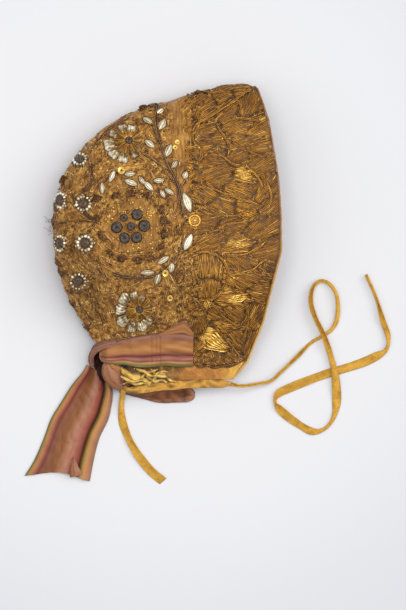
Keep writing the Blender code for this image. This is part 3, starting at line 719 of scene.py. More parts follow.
# The tie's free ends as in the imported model, in metres, each row with the width that shows from
# above, in millimetres
TIE_RIGHT = [
    (0.0464, -0.108, 0.0171, 3.2), (0.053, -0.1094, 0.0152, 2.2), (0.06, -0.109, 0.0115, 2),
    (0.0679, -0.1077, 0.0085, 1.9), (0.0762, -0.1058, 0.0058, 2), (0.084, -0.0989, 0.0038, 2),
    (0.0934, -0.0901, 0.0024, 2.6), (0.1051, -0.0785, 0.0015, 2), (0.1131, -0.0737, 0.0013, 2),
    (0.12, -0.069, 0.0015, 2.2), (0.124, -0.0625, 0.002, 2.6), (0.1252, -0.053, 0.003, 2.8),
    (0.124, -0.043, 0.0036, 2.6), (0.12, -0.036, 0.0038, 2.4), (0.1139, -0.0326, 0.0038, 2.4),
    (0.1085, -0.035, 0.0038, 2.4), (0.1055, -0.042, 0.004, 2.8), (0.1056, -0.0505, 0.0044, 3.2),
    (0.1086, -0.0599, 0.0048, 3.4), (0.1133, -0.0695, 0.005, 3.4), (0.1172, -0.0795, 0.0048, 3.6),
    (0.1205, -0.0901, 0.0046, 4.2), (0.1228, -0.0998, 0.0044, 4.9), (0.124, -0.1102, 0.003, 5.8),
    (0.1243, -0.1215, 0.0016, 6.4), (0.1226, -0.1314, 0.0013, 3.4), (0.1183, -0.1387, 0.0013, 1.9),
    (0.1121, -0.1427, 0.0013, 2.8), (0.1058, -0.1429, 0.0013, 5.4), (0.0988, -0.1394, 0.0013, 5.6),
    (0.09, -0.1334, 0.0013, 5.6), (0.0829, -0.1272, 0.0013, 5.4), (0.079, -0.121, 0.0014, 1.9),
    (0.0818, -0.1152, 0.0014, 5.6), (0.09, -0.1113, 0.0013, 6.2), (0.1033, -0.1058, 0.0013, 6.2),
    (0.1175, -0.1007, 0.0013, 6.2), (0.1298, -0.0971, 0.0013, 6.2), (0.1431, -0.0927, 0.0013, 6.2),
    (0.1528, -0.0883, 0.0014, 6.2), (0.1594, -0.0845, 0.0018, 3.4), (0.1621, -0.079, 0.0028, 2.2),
    (0.1616, -0.0715, 0.0034, 3.6), (0.1581, -0.0618, 0.0034, 3.6), (0.1528, -0.0441, 0.0034, 1.9),
    (0.1457, -0.0281, 0.0034, 1.6),
]
TIE_LEFT = [
    (-0.0318, -0.1122, 0.009, 3.4), (-0.033, -0.1185, 0.0044, 3.8), (-0.0337, -0.1265, 0.0018, 4.4),
    (-0.0326, -0.1365, 0.0013, 5), (-0.0299, -0.1445, 0.0013, 5.2), (-0.026, -0.1526, 0.0013, 5.4),
    (-0.0207, -0.1613, 0.0013, 5.8), (-0.014, -0.1698, 0.0013, 6.3), (-0.0088, -0.175, 0.0013, 6.4),
    (-0.0029, -0.1796, 0.0013, 6.4),
]


def curl_for(width_share):
    """The angle that a ribbon curls through to show this share of its width from above: the
    chord of its arc, or the arc's full diameter once it passes half a circle."""
    curls = np.linspace(0.05, 6.0, 200)
    shown = np.where(curls < math.pi, np.sin(np.minimum(curls, math.pi) / 2), 1) * 2 / curls
    return np.interp(-np.asarray(width_share), -shown, curls)


def tie_ribbon(rows, width, seed):
    """The ribbon's middle surface: at each step an arc of the curl that its shown width asks
    for, set down so that its lowest point follows the underside of the route."""
    curve = through(rows)
    route, shown = curve[:, :3], curve[:, 3] / 1000
    along = travelled(route)
    lengths = np.linspace(0, along[-1], int(along[-1] / TIE_SPACING) + 1)
    path = point_along(route, lengths)
    share = np.interp(lengths, along, shown) / width
    wobble = mottle(lengths[:, None], 0.03, seed)
    curl = curl_for(np.clip(share * (1 + 0.05 * wobble), 0.2, 0.995))[:, None]
    over = np.linspace(-0.5, 0.5, SECTION_STEPS + 1)[None]
    sideways = np.sin(curl * over) * width / curl
    rise = (1 - np.cos(curl * over)) * width / curl
    cups_up = np.where(mottle(lengths[:, None], 0.09, seed + 1) > -0.2, 1.0, -1.0)
    cups_up = np.convolve(np.pad(cups_up, 6, mode="edge"), np.ones(13) / 13, "valid")[:, None]
    rise = rise * cups_up
    lean = 0.10 * mottle(lengths[:, None], 0.05, seed + 2)[:, None]
    rise = rise + sideways * lean
    rise = rise - rise.min(axis=1, keepdims=True)
    ahead = unit(np.gradient(path, axis=0) * [1, 1, 0])
    side = np.stack([-ahead[:, 1], ahead[:, 0], np.zeros(len(ahead))], axis=-1)
    base = np.maximum(path[:, 2] - CORD_RADIUS, 0) + TIE_LIFT
    points = path[:, None] * [1, 1, 0] + sideways[..., None] * side[:, None]
    points[..., 2] = base[:, None] + rise
    return points, lengths, over


def cut_square(points, lengths, over, slant):
    """The last steps drawn back on one side, so that the end is cut slightly askew."""
    ahead = unit(points[-1] - points[-2])
    near = eased(1 - (lengths[-1] - lengths) / 0.004)[:, None, None]
    return points + near * ahead[None] * (over.T * slant)[None]


def build_ties(settings):
    """Both free ends of the tie, from where they leave the casing."""
    finish = silk_finish(
        "tie_silk",
        [(0.25, 160, 105, 28), (0.5, 206, 153, 48), (0.75, 224, 177, 70)],
        weave=0.6, sheen=0.35, rough=0.5, fold_shade=0.45, thread_scale=11000.0,
    )
    width = settings.tie_width
    for name, rows, seed in (("tie_right", TIE_RIGHT, 3), ("tie_left", TIE_LEFT, 8)):
        points, lengths, over = tie_ribbon(rows, width, seed)
        points = cut_square(points, lengths, over, 0.0012 if name == "tie_left" else 0.0)
        low = points[..., 2].min(axis=1, keepdims=True)
        # Painted shade: the ribbon is darker where it lies low and lighter where it curls up, by its
        # fold mark.
        fold = eased((points[..., 2] - low) / 0.0012) * 0.5 + 0.5
        cloth = np.dstack(np.broadcast_arrays((over + 0.5), lengths[:, None], 0 * over))
        piece = made_piece(
            f"{name}_ribbon", one_grid(points), finish, "yellow_silk", [name], wall=TIE_WALL,
            offset=0.0, fold=fold, cloth=cloth,
        )


# ------------------------------------------------- the coif's cloth and its metal embroidery

Cell = namedtuple("Cell", "x y angle spread reach tone")
Line = namedtuple("Line", "strands radius tone rows")

CELL_STRETCH = 1.7
CELL_PAD = 0.0011
CORD_GAP = 0.0008
REACH_UNIT = 0.011
FIELD_REACH = 0.021
THREAD_ARCH = 0.00022
PLY_TURN = 0.0017
CORD_STEP = 0.00060
CURL_SIZE = 0.00085
# The tone of the dark bed under each cord, a painted shadow
CORD_SHADOW_TONE = -0.15
THREAD_RUN = 0.0090
THREAD_STEPS = 8
FLOOR_CLEARANCE = 0.004
ROSETTE_CENTRE = (133, 226.5)
SEAM_CURLS = 190
BARE_RING = (15, 27)
STRIP_LEFT, STRIP_FOOT = 169, 203

# Leaf-shaped fields of laid thread: middle, the threads' angle above the rightward line, how far
# they fan out along their run, the field's size and how bright it is
BAND_CELLS = [Cell(*row) for row in [
    (206, 106, 35, 0.2, 1, 0.45), (222, 97, 25, 0.2, 1, 0.45), (240, 92, 12, 0.2, 0.8, 0.5),
    (207, 118, 35, 0, 0.7, 0.5), (228, 112, 38, 0.2, 0.9, 0.4), (246, 105, 70, 0.3, 0.9, 0.42),
    (204, 134, 15, 0.3, 0.9, 0.52), (216, 141, 8, 0.4, 0.9, 0.5), (238, 130, 20, 0.5, 1, 0.55),
    (256, 134, 25, 0.4, 0.9, 0.55), (204, 151, 12, 0.2, 0.8, 0.5), (240, 144, 18, 0.3, 0.8, 0.6),
    (258, 150, 10, 0.3, 0.9, 0.45), (213, 162, -5, 0.5, 0.9, 0.45), (238, 160, 25, 0.4, 0.8, 0.42),
    (258, 168, 30, 0.5, 0.9, 0.48), (218, 176, 20, 0.5, 1.1, 0.5), (243, 177, -8, 0.6, 0.8, 0.8),
    (240, 191, -18, 0.4, 0.8, 0.55), (262, 192, 60, 0.4, 0.8, 0.45),
    (208, 197, -28, 0.2, 0.9, 0.55), (222, 207, -24, 0.3, 1.1, 0.58), (246, 212, -15, 0.5, 1, 0.62),
    (264, 210, 45, 0.4, 0.7, 0.45), (205, 222, 10, 0.5, 0.9, 0.42), (232, 226, 14, 0.3, 0.9, 0.45),
    (258, 230, 35, 0.5, 0.9, 0.48), (212, 243, 25, 0.5, 0.9, 0.48), (238, 246, 12, 0.4, 1, 0.72),
    (260, 250, 20, 0.5, 0.8, 0.45), (240, 262, -30, 0.6, 1, 0.45), (208, 270, 88, 0.5, 1.1, 0.66),
    (208, 286, 95, 0.5, 1, 0.62), (244, 280, -22, 0.8, 1.1, 0.52), (232, 297, 5, 0.4, 1, 0.66),
    (256, 290, -10, 0.6, 0.8, 0.46), (202, 306, 20, 0.5, 0.8, 0.56), (216, 312, -28, 0.4, 0.8, 0.4),
    (236, 313, -35, 0.5, 0.9, 0.44), (226, 325, -15, 0.5, 0.8, 0.56),
    (248, 318, 60, 0.5, 0.8, 0.46), (200, 325, 80, 0.3, 0.7, 0.46), (217, 341, -25, 1.2, 1.2, 0.9),
    (238, 338, -45, 0.6, 0.9, 0.48), (201, 346, 40, 0.5, 0.8, 0.42), (214, 358, 30, 0.6, 0.9, 0.34),
    (234, 358, -30, 0.6, 0.9, 0.38), (248, 345, 70, 0.4, 0.7, 0.45),
]]
CROWN_CELLS = [Cell(*row) for row in [
    (183, 115, 90, 0, 1, 0.7), (181, 145, 92, 0, 1.1, 0.7), (160, 108, 80, 0.1, 0.7, 0.42),
    (148, 112, 20, 0.2, 0.9, 0.5), (125, 113, 25, 0.2, 0.9, 0.38), (103, 126, 38, 0.2, 0.8, 0.36),
    (84, 145, 52, 0.3, 0.9, 0.34), (69, 168, 62, 0.3, 0.8, 0.34), (96, 160, 60, 0.5, 0.8, 0.38),
    (94, 178, 58, 0.6, 0.9, 0.34), (78, 182, 50, 0.5, 0.9, 0.42), (146, 133, -60, 0.4, 0.9, 0.5),
    (168, 140, 85, 0.2, 0.8, 0.58), (152, 160, -35, 0.3, 0.9, 0.52), (130, 171, 10, 0.3, 0.9, 0.52),
    (112, 186, 45, 0.5, 0.8, 0.5), (163, 177, -55, 0.3, 0.8, 0.4), (180, 186, -80, 0.3, 0.8, 0.34),
    (76, 215, -38, 0.8, 1, 0.4), (100, 213, 60, 0.4, 0.8, 0.4), (74, 232, 35, 0.8, 1, 0.4),
    (100, 236, -50, 0.4, 0.8, 0.4), (64, 262, -55, 0.4, 0.9, 0.42), (90, 262, -42, 0.5, 1.1, 0.3),
    (112, 264, -25, 0.5, 0.9, 0.52), (132, 268, -5, 0.4, 0.9, 0.5), (154, 267, 25, 0.4, 0.8, 0.48),
    (172, 250, 65, 0.4, 0.9, 0.4), (176, 225, 88, 0.4, 1, 0.4), (74, 284, -50, 0.4, 0.8, 0.46),
    (99, 302, -78, 0.5, 1, 0.36), (84, 308, -55, 0.4, 0.9, 0.48), (108, 284, -60, 0.5, 0.9, 0.42),
    (104, 328, -45, 0.4, 0.9, 0.42), (152, 286, 15, 0.5, 0.9, 0.44),
    (172, 292, -70, 0.6, 0.9, 0.44), (165, 312, -40, 0.7, 0.9, 0.44),
    (184, 306, -80, 0.4, 0.9, 0.4), (186, 275, 70, 0.5, 0.8, 0.38), (150, 328, -20, 0.5, 0.9, 0.38),
]]

BAND_CORDS = [Line(*row) for row in [
    (2, 0.45, 0.55, [(250.6, 91), (234, 104), (217, 115), (207, 121), (198, 126)]), (1, 0.42, 0.5,
    [(197, 108), (199, 118), (199, 126), (196, 133), (192, 138)]), (2, 0.45, 0.4, [(215, 127),
    (221, 135), (226, 143), (229, 148), (228, 155), (226, 161)]), (1, 0.42, 0.35, [(231, 144),
    (237, 148), (244.5, 152), (255, 156), (266, 159)]), (1, 0.42, 0.5, [(222, 127), (230, 123),
    (238.5, 121), (250.6, 122.6), (258.5, 124)]), (2, 0.45, 0.45, [(205, 184), (212, 189),
    (220, 193.5), (235, 199), (251, 204), (262, 208)]), (1, 0.42, 0.5, [(266, 184), (269.5, 194),
    (270, 203), (265, 209), (258, 213)]), (1, 0.42, 0.6, [(244, 167), (250, 172), (256, 178),
    (260, 184), (261, 190)]), (1, 0.45, 0.45, [(224, 232), (222, 228), (228, 225), (244.5, 222.6),
    (255, 218)]), (1, 0.5, 0.4, [(208, 234), (216, 231.5), (224, 228)]), (2, 0.5, 0.45, [(196, 254),
    (208, 253), (219, 258), (226, 267), (227, 277), (223, 287), (213, 297), (199, 299)]),
    (1, 0.45, 0.65, [(227, 277), (238, 274), (251, 270), (258, 265), (264, 260)]), (2, 0.42, 0.35,
    [(212, 321), (222, 334), (231, 345), (240, 357)]), (1, 0.42, 0.55, [(226, 257), (236, 256),
    (246, 254), (257, 249), (266, 241)]), (1, 0.42, 0.45, [(208, 300), (216, 307), (224, 316),
    (236, 324), (250, 328)]), (1, 0.42, 0.4, [(198, 301), (204, 309), (207, 318), (204, 330),
    (197, 338)]), (1, 0.42, 0.45, [(232, 288), (241, 298), (247, 311), (247, 326), (241, 338)]),
    (1, 0.42, 0.45, [(203, 160), (211, 153), (222, 158), (232, 166), (240, 167)]), (1, 0.42, 0.4,
    [(200, 212), (210, 216), (224, 217), (238, 216), (250, 211)]), (1, 0.42, 0.5, [(236, 104),
    (240, 110), (239, 117)]), (1, 0.42, 0.45, [(196, 92), (214, 96), (232, 92), (251, 90)]),
    (2, 0.42, 0.45, [(207, 121), (198, 126), (193, 134), (194, 144), (200, 151), (201, 160),
    (196, 164)]), (1, 0.45, 0.45, [(203, 105), (199, 112), (197, 122)]), (2, 0.4, 0.05, [(194, 364),
    (200, 366.5), (207, 365.5), (214, 367.5), (222, 366), (230, 366), (237, 363), (243, 360)]),
]]
CROWN_STEMS = [Line(*row) for row in [
    (3, 0.38, 0.25, [(156, 104), (158, 116), (158, 126), (159, 135), (160.5, 144), (164, 155),
    (167, 164), (172, 174), (176, 182), (179, 189), (180.6, 197), (182, 206), (184, 216)]),
    (2, 0.38, 0.3, [(140, 152.6), (151, 160), (162, 168), (169, 176), (175, 184)]), (2, 0.34, 0.28,
    [(184, 216), (185, 228), (184, 240), (179, 254)]), (3, 0.38, 0.28, [(179, 254), (172, 264),
    (165, 271), (155, 275.5), (145, 277.6), (135, 277.5), (125, 276.5), (114, 273)]),
    (2, 0.26, 0.26, [(73, 247), (80, 254), (89, 263), (99, 271.5), (109, 280)]), (2, 0.26, 0.34,
    [(66, 252), (76, 258), (87, 266.5), (98, 273.5), (109, 281)]), (2, 0.26, 0.3, [(80, 243),
    (86, 250), (93, 259.5), (101, 269), (109, 279)]), (1, 0.26, 0.4, [(64, 258), (76, 263),
    (88, 270), (99, 276), (109, 282)]), (3, 0.34, 0.22, [(73.5, 195), (80, 206), (89, 216),
    (98, 223)]), (2, 0.34, 0.22, [(98, 223), (90, 234), (82, 242), (72, 246)]), (2, 0.32, 0.22,
    [(60, 225), (72, 222), (86, 222), (98, 223)]), (3, 0.34, 0.2, [(92, 165), (95, 175), (93, 185),
    (84, 194)]), (2, 0.32, 0.25, [(100, 190), (92, 200), (86, 195)]), (2, 0.26, 0.28, [(94, 284),
    (97, 296), (99, 308), (106, 322)]), (1, 0.26, 0.36, [(100, 286), (102, 298), (103, 309),
    (107, 321)]), (1, 0.26, 0.36, [(88, 287), (92, 298), (96, 310), (104, 322)]), (2, 0.32, 0.3,
    [(124, 336), (138, 338), (152, 330), (158, 318)]), (1, 0.32, 0.3, [(150, 124), (156, 134),
    (158, 144)]), (1, 0.32, 0.3, [(176, 167), (178, 176), (178, 184)]), (1, 0.32, 0.3, [(188, 178),
    (183, 186), (180, 194)]), (2, 0.32, 0.25, [(190, 215), (187, 225), (189, 235), (192, 245)]),
    (1, 0.32, 0.4, [(180, 262), (186, 270), (184, 280), (178, 284), (176, 276)]), (1, 0.32, 0.4,
    [(184, 258), (191, 264), (192, 274), (186, 278)]), (2, 0.32, 0.24, [(130, 120), (114, 129),
    (102, 141), (92, 154), (88, 166)]), (1, 0.32, 0.3, [(80, 300), (88, 314), (98, 328)]),
]]


# A shell's work: its fields and sewn cords, how thick its padding is, the size of its cords, how far
# the dark bed under them, a painted shadow, reaches past them, and how much lighter they are
Work = namedtuple("Work", "cells cords padding cord_size bed lighter")
BAND_WORK = Work(BAND_CELLS, BAND_CORDS, 1.0, 0.78, 0.80, -0.10)
CROWN_WORK = Work(CROWN_CELLS, CROWN_STEMS, 0.5, 1.0, 0.45, 0.02)


def offsets_from(cells, place):
    """How far each place is from each field's middle, in its reach: shorter along its threads."""
    middle = drawn([(cell.x, cell.y) for cell in cells])
    angle = np.radians([cell.angle for cell in cells])
    away = place[..., None, :] - middle
    along = away[..., 0] * np.cos(angle) + away[..., 1] * np.sin(angle)
    across = away[..., 1] * np.cos(angle) - away[..., 0] * np.sin(angle)
    reach = np.array([cell.reach for cell in cells]) * REACH_UNIT
    return np.hypot(along / CELL_STRETCH, across) / reach


def sewn_lines(lines):
    """Close points along all of the lines, seen from above."""
    curves = [through(drawn(line.rows)) for line in lines]
    return np.vstack([evenly(curve, int(travelled(curve)[-1] / 0.001) + 2) for curve in curves])


def from_cords(place, lines):
    """How far each place lies from the nearest of the sewn cords."""
    spots = sewn_lines(lines)
    flat = place.reshape(-1, 2)
    found = [
        np.sqrt(((some[:, None] - spots) ** 2).sum(-1).min(axis=-1))
        for some in np.array_split(flat, max(1, len(flat) // 5000))
    ]
    return np.concatenate(found).reshape(place.shape[:-1])


def cord_clearance(place, cords, fade):
    """0 beside the sewn cords, easing to 1 over this distance past their gap."""
    return eased((from_cords(place, cords) - CORD_GAP) / fade)


def field_pad(work, place):
    """How far the padding under the laid threads stands up: full inside a field and none where
    two fields meet, from the share of the nearest middle's distance in the next one's; drawn
    down along the cords that are sewn between them."""
    ordered = np.partition(offsets_from(work.cells, place), 1, axis=-1)
    nearer = ordered[..., 0] / np.maximum(ordered[..., 1], 1e-9)
    pad = work.padding * CELL_PAD * (1 - eased(nearer) ** 2)
    return pad * (0.25 + 0.75 * cord_clearance(place, work.cords, 0.0012))


def bareness(place):
    """1 where the crown's silk is left plain: in a ring round the rosette and on the strip
    behind the seam; 0 where it is worked."""
    centre = drawn(ROSETTE_CENTRE)
    away = np.linalg.norm((place - centre) * [1, 1.06], axis=-1) / DRAWN_UNIT
    ring = eased((away - BARE_RING[0]) / 2) * (1 - eased((away - BARE_RING[1] + 1) / 3))
    ragged = 3 * mottle(place, 0.008, 61)
    strip = eased((drawing_column(place) - STRIP_LEFT - ragged) / 5)
    strip = strip * (1 - eased((drawing_row(place) - STRIP_FOOT) / 10))
    return np.maximum(ring * 0.82, strip * 0.85)


def shell_grid(hoops, turns, wall, relief):
    """The outer face of a shell, its relief and the plan of each point. A turn is -1 at the
    upper neck edge, 0 at the ridge and 1 below; the relief fades out towards the floor."""
    hoop, turn = np.meshgrid(hoops, turns, indexing="ij")
    place = side_plan(hoop, 0.5 - 0.5 * np.cos(turn * math.pi))
    upper, lower = side_heights(place, wall)
    middle = np.dstack([place, np.where(turn < 0, upper, lower)])
    across, down = np.gradient(middle, axis=0), np.gradient(middle, axis=1)
    normal = unit(np.cross(down, across))
    free = eased((middle[..., 2] - FLOOR_CLEARANCE) / 0.006)
    height = relief(place, middle) * free
    return middle + normal * (wall / 2 + height)[..., None], height, place


def build_shells(settings):
    """The crown's silk and the band's ground, each one cloth with the relief of its padding."""
    turns = np.concatenate([np.linspace(-1, 0, 121), np.linspace(0, 1, 52)[1:]])

    def crown_relief(place, middle):
        rough = 0.00022 * mottle(middle, 0.0042, 21) + 0.00016 * mottle(middle, 0.0021, 22)
        return rough * (1 - 0.6 * bareness(place)) + field_pad(CROWN_WORK, place)

    def band_relief(place, middle):
        return 0.00012 * mottle(middle, 0.003, 23) + field_pad(BAND_WORK, place)

    points, height, place = shell_grid(np.linspace(0, 1, 104), turns, CROWN_WALL, crown_relief)
    points[..., 0] -= JOIN_GAP / 2
    # Painted shade on the crown: its fold mark is lower where its padded relief is low.
    crown = made_piece(
        "crown_silk", one_grid(points, True), crown_finish(), "ochre_silk", ["crown"],
        wall=CROWN_WALL, fold=(0.5 + height / 0.0012).clip(0, 1), bare=bareness(place),
    )
    points, height, _ = shell_grid(np.linspace(-1, 0, 96), turns, BAND_WALL, band_relief)
    points[..., 0] += JOIN_GAP / 2
    # Painted shade on the band's ground: its fold mark is lower in the joins between the padded fields.
    band = made_piece(
        "band_ground", one_grid(points, True), band_ground_finish(), "metal_thread",
        ["front_band"], wall=BAND_WALL, fold=(0.2 + height / CELL_PAD).clip(0, 1),
    )


def traced(cell, across, starts, shares):
    """Points at these shares of the threads that start at these places along and across a
    field, which fan out along their run."""
    angle = math.radians(cell.angle)
    ahead = np.array([math.cos(angle), math.sin(angle)])
    side = np.array([-math.sin(angle), math.cos(angle)])
    run = starts[:, None] + shares * THREAD_RUN
    fanned = across[:, None] * (1 + cell.spread * run / FIELD_REACH)
    return drawn((cell.x, cell.y)) + run[..., None] * ahead + fanned[..., None] * side


def laid_threads(cells, outline, pitch, seed, upper):
    """Short threads that fill the fields. Lines run through each field a pitch apart, spreading
    with their run, and each is cut to the part that lies nearest to its own field's middle."""
    random = np.random.default_rng(seed)
    fine = np.linspace(0, 1, 9)
    step = np.linspace(0, 1, THREAD_STEPS)
    paths, tones, radii = [], [], []
    for number, cell in enumerate(cells):
        across = np.arange(-FIELD_REACH, FIELD_REACH, pitch)
        starts = np.arange(-FIELD_REACH, FIELD_REACH, THREAD_RUN * 0.94)
        across, starts = (grid.ravel() for grid in np.meshgrid(across, starts))
        starts = starts + random.uniform(-0.4, 0.4, len(starts)) * THREAD_RUN
        across = across + random.uniform(-0.2, 0.2, len(starts)) * pitch
        spots = traced(cell, across, starts, fine[None, :])
        own = offsets_from(cells, spots).argmin(axis=-1) == number
        own &= inside(spots, outline)
        first = own.argmax(axis=1) / 8
        last = 1 - own[:, ::-1].argmax(axis=1) / 8
        kept = own.any(axis=1) & (last - first > 0.2)
        shares = first[:, None] + (last - first)[:, None] * step
        places = traced(cell, across, starts, shares)[kept]
        paths.append(places)
        # A few threads are made much brighter as painted glints.
        bright = random.uniform(size=len(places)) < 0.035
        tones.append(cell.tone + random.normal(0, 0.13, len(places)) + 0.4 * bright)
        radii.append(random.uniform(0.8, 1.2, len(places)))
    place, tone, radius = np.concatenate(paths), np.concatenate(tones), np.concatenate(radii)
    height = side_heights(place, CROWN_WALL)[0 if upper else 1].min(axis=1)
    kept = height > (0.0 if upper else FLOOR_CLEARANCE)
    return place[kept], tone[kept], radius[kept]


def threads_shape(work, outline, pitch, radius, seed, upper, thin=None):
    """The laid threads as tubes that arch a little over their field's padding. Thin gives the
    share of them that is left out at each place."""
    place, tone, scale = laid_threads(work.cells, outline, pitch, seed, upper)
    if thin is not None:
        random = np.random.default_rng(seed + 50)
        kept = random.uniform(size=len(place)) > thin(place.mean(axis=1))
        place, tone, scale = place[kept], tone[kept], scale[kept]
    step = np.linspace(0, 1, THREAD_STEPS)
    arch = np.sin(step * math.pi) * THREAD_ARCH
    points, normals = on_cloth(place, field_pad(work, place) + arch + radius * 0.35, upper)
    points[..., 2] = np.maximum(points[..., 2], radius * 1.2)
    taper = 0.55 + 0.45 * np.sin(step * math.pi) ** 0.5
    size = radius * scale[:, None] * taper * (0.1 + 0.9 * cord_clearance(place, work.cords, 0.0006))
    return tubes(points, normals, size, 4), np.repeat(tone, THREAD_STEPS * 4)


def build_band_threads(settings):
    """The laid metal thread over the whole band, on the upper side and round the fold."""
    shapes, tones = zip(*[
        threads_shape(BAND_WORK, BAND_WORK_OUTLINE, settings.thread_pitch * wider,
                      settings.thread_radius, seed, upper)
        for wider, seed, upper in ((1, 31, True), (1.5, 32, False))
    ])
    made_piece("band_threads", joined(*shapes), band_thread_finish(), "metal_thread",
               tone=np.concatenate(tones))


def build_crown_threads(settings):
    """Finer laid thread over the crown, left out where its silk is plain."""
    radius = settings.thread_radius * 0.85
    shapes, tones = zip(
        threads_shape(CROWN_WORK, CROWN_OUTLINE, settings.thread_pitch * 1.25, radius, 33, True,
                      lambda place: 0.15 + 0.85 * bareness(place)),
        threads_shape(CROWN_WORK, CROWN_OUTLINE, settings.thread_pitch * 1.8, radius, 34, False,
                      lambda place: 0.3 + 0.7 * bareness(place)),
    )
    made_piece("crown_threads", joined(*shapes), crown_thread_finish(), "dark_purl",
               tone=np.concatenate(tones))


def cords_shape(work):
    """Twisted cords sewn along lines, each over a wider dark tube of painted shadow: side by side
    strands whose two plies turn along them."""
    shapes, tones = [], []
    for number, line in enumerate(work.cords):
        curve = through(drawn(line.rows))
        length = travelled(curve)[-1]
        count = max(8, int(length / CORD_STEP))
        centre = evenly(curve, count)
        ahead = unit(np.gradient(centre, axis=0))
        side = np.stack([-ahead[:, 1], ahead[:, 0]], axis=-1)
        radius = line.radius / 1000 * work.cord_size
        ends = np.sqrt(np.clip(np.minimum(np.arange(count), np.arange(count)[::-1]) / 4, 0.3, 1))
        strands = max(2, line.strands)
        bed = radius * (strands * 1.15 + work.bed)
        # The bed: a wider, lower, dark tube that is painted shadow round the cord
        points, normals = on_cloth(centre, CELL_PAD * 0.45 - bed * 0.35)
        shapes.append(tubes(points[None], normals[None], (bed * ends)[None], 6))
        tones.append(np.full(count * 6, CORD_SHADOW_TONE))
        for strand in range(strands):
            shift = (strand - (strands - 1) / 2) * radius * (2.5 if strands < 3 else 3.1)
            wander = 0.00015 * mottle(centre, 0.012, number * 10 + strand)
            place = centre + side * (shift + wander)[:, None]
            points, normals = on_cloth(place, CELL_PAD * 0.6 + radius * 0.8)
            twist = travelled(points)[None] * math.pi / PLY_TURN + strand
            shapes.append(tubes(points[None], normals[None], (radius * ends)[None], 6, twist=twist))
            # Painted light on the plies: each ply is lighter and darker by turns along its twist; the
            # mottle is the cord's own uneven tone.
            wound = 0.16 * np.cos(2 * twist[0]) + 0.12 * mottle(centre, 0.004, strand)
            tones.append(np.repeat(line.tone + work.lighter + 0.16 * (strand % 2) + wound, 6))
    return joined(*shapes), np.concatenate(tones)


def build_cords(settings):
    """The raised cords of the band and the stems of the crown."""
    shape, tone = cords_shape(BAND_WORK)
    made_piece("band_cords", shape, band_thread_finish(), "metal_thread", tone=tone)
    shape, tone = cords_shape(CROWN_WORK)
    made_piece("crown_stems", shape, crown_thread_finish(), "dark_purl", tone=tone)


def scattered(outline, pitch, seed, upper=True):
    """Places over a side in staggered rows a pitch apart, each moved a little at random."""
    random = np.random.default_rng(seed)
    low, high = outline.min(axis=0), outline.max(axis=0)
    x, y = np.arange(low[0], high[0], pitch), np.arange(low[1], high[1], pitch * 0.87)
    column, row = np.meshgrid(x, y)
    column = column + (np.arange(len(y)) % 2)[:, None] * pitch / 2
    places = np.stack([column.ravel(), row.ravel()], axis=-1)
    places = places + random.uniform(-0.4, 0.4, places.shape) * pitch
    places = places[inside(places, outline)]
    if not upper:
        places = places[side_heights(places, CROWN_WALL)[1] > FLOOR_CLEARANCE]
    return places, random


def curl_shape():
    """A curl of wound wire of radius 1: a tube carried round most of a circle."""
    turn = np.linspace(0, 0.82 * 2 * math.pi, 8)
    path = np.stack([np.cos(turn), np.sin(turn), 0.25 * np.sin(turn * 1.5)], axis=-1)
    return tubes(path[None], upwards(path[None]), 0.30, 4)


def build_purl(settings):
    """The curls of wound wire that cover the worked parts of the crown."""
    template, faces = curl_shape()
    shapes, tones = [], []
    for upper, wider, seed in ((True, 1, 41), (False, 1.35, 42)):
        places, random = scattered(CROWN_OUTLINE, settings.purl_pitch * wider, seed, upper)
        open_ground = 0.42 * eased(mottle(places, 0.013, 45) + 0.4)
        kept = random.uniform(size=len(places)) > bareness(places) * 0.93 + 0.03 + open_ground
        places = places[kept]
        count = len(places)
        points, normals = on_cloth(places, 0.00025 + field_pad(CROWN_WORK, places), upper)
        points[:, 2] = np.maximum(points[:, 2], 0.0012)
        tilt = unit(normals + 0.35 * random.normal(size=normals.shape))
        size = random.uniform(0.75, 1.35, (count, 1)) * CURL_SIZE
        turns = random.uniform(0, 2 * math.pi, count)
        shapes.append(stamped(template, faces, points, tilt, turns, size))
        tone = random.uniform(0, 1, count) ** 1.5 + 0.12 * mottle(places, 0.012, 43)
        # A few curls are made brightest as painted glints; the others keep their own uneven tone.
        tone = np.where(random.uniform(size=count) < 0.07, 1.05, tone - 0.05)
        tones.append(np.repeat(tone, len(template)))
    made_piece("crown_purl", joined(*shapes), crown_thread_finish(), "dark_purl",
               tone=np.concatenate(tones))


def build_band_purl(settings):
    """The curls that fill the band's joins, its neck edge and its edge along the seam."""
    template, faces = curl_shape()
    places, random = scattered(BAND_OUTLINE, settings.purl_pitch * 0.72, 44)
    pad = field_pad(BAND_WORK, places)
    edges = eased((drawing_row(places) - 346) / 12) + eased((203 - drawing_column(places)) / 8)
    edges = edges + eased(1 - pad / CELL_PAD * 3)
    places = places[random.uniform(size=len(places)) < edges * 0.75]
    down = random.uniform(92, 366, SEAM_CURLS)
    seam = drawn(np.stack([190.5 + random.normal(0, 3.4, SEAM_CURLS), down], axis=-1))
    places = np.vstack([places, seam])
    count = len(places)
    points, normals = on_cloth(places, 0.0005 + field_pad(BAND_WORK, places))
    tilt = unit(normals + 0.4 * random.normal(size=normals.shape))
    size = random.uniform(0.6, 1.2, (count, 1)) * CURL_SIZE
    shape = stamped(template, faces, points, tilt, random.uniform(0, 2 * math.pi, count), size)
    tone = random.uniform(0, 1, count) ** 1.6 * 0.95
    made_piece("band_purl", shape, crown_thread_finish(), "metal_thread",
               tone=np.repeat(tone, len(template)))


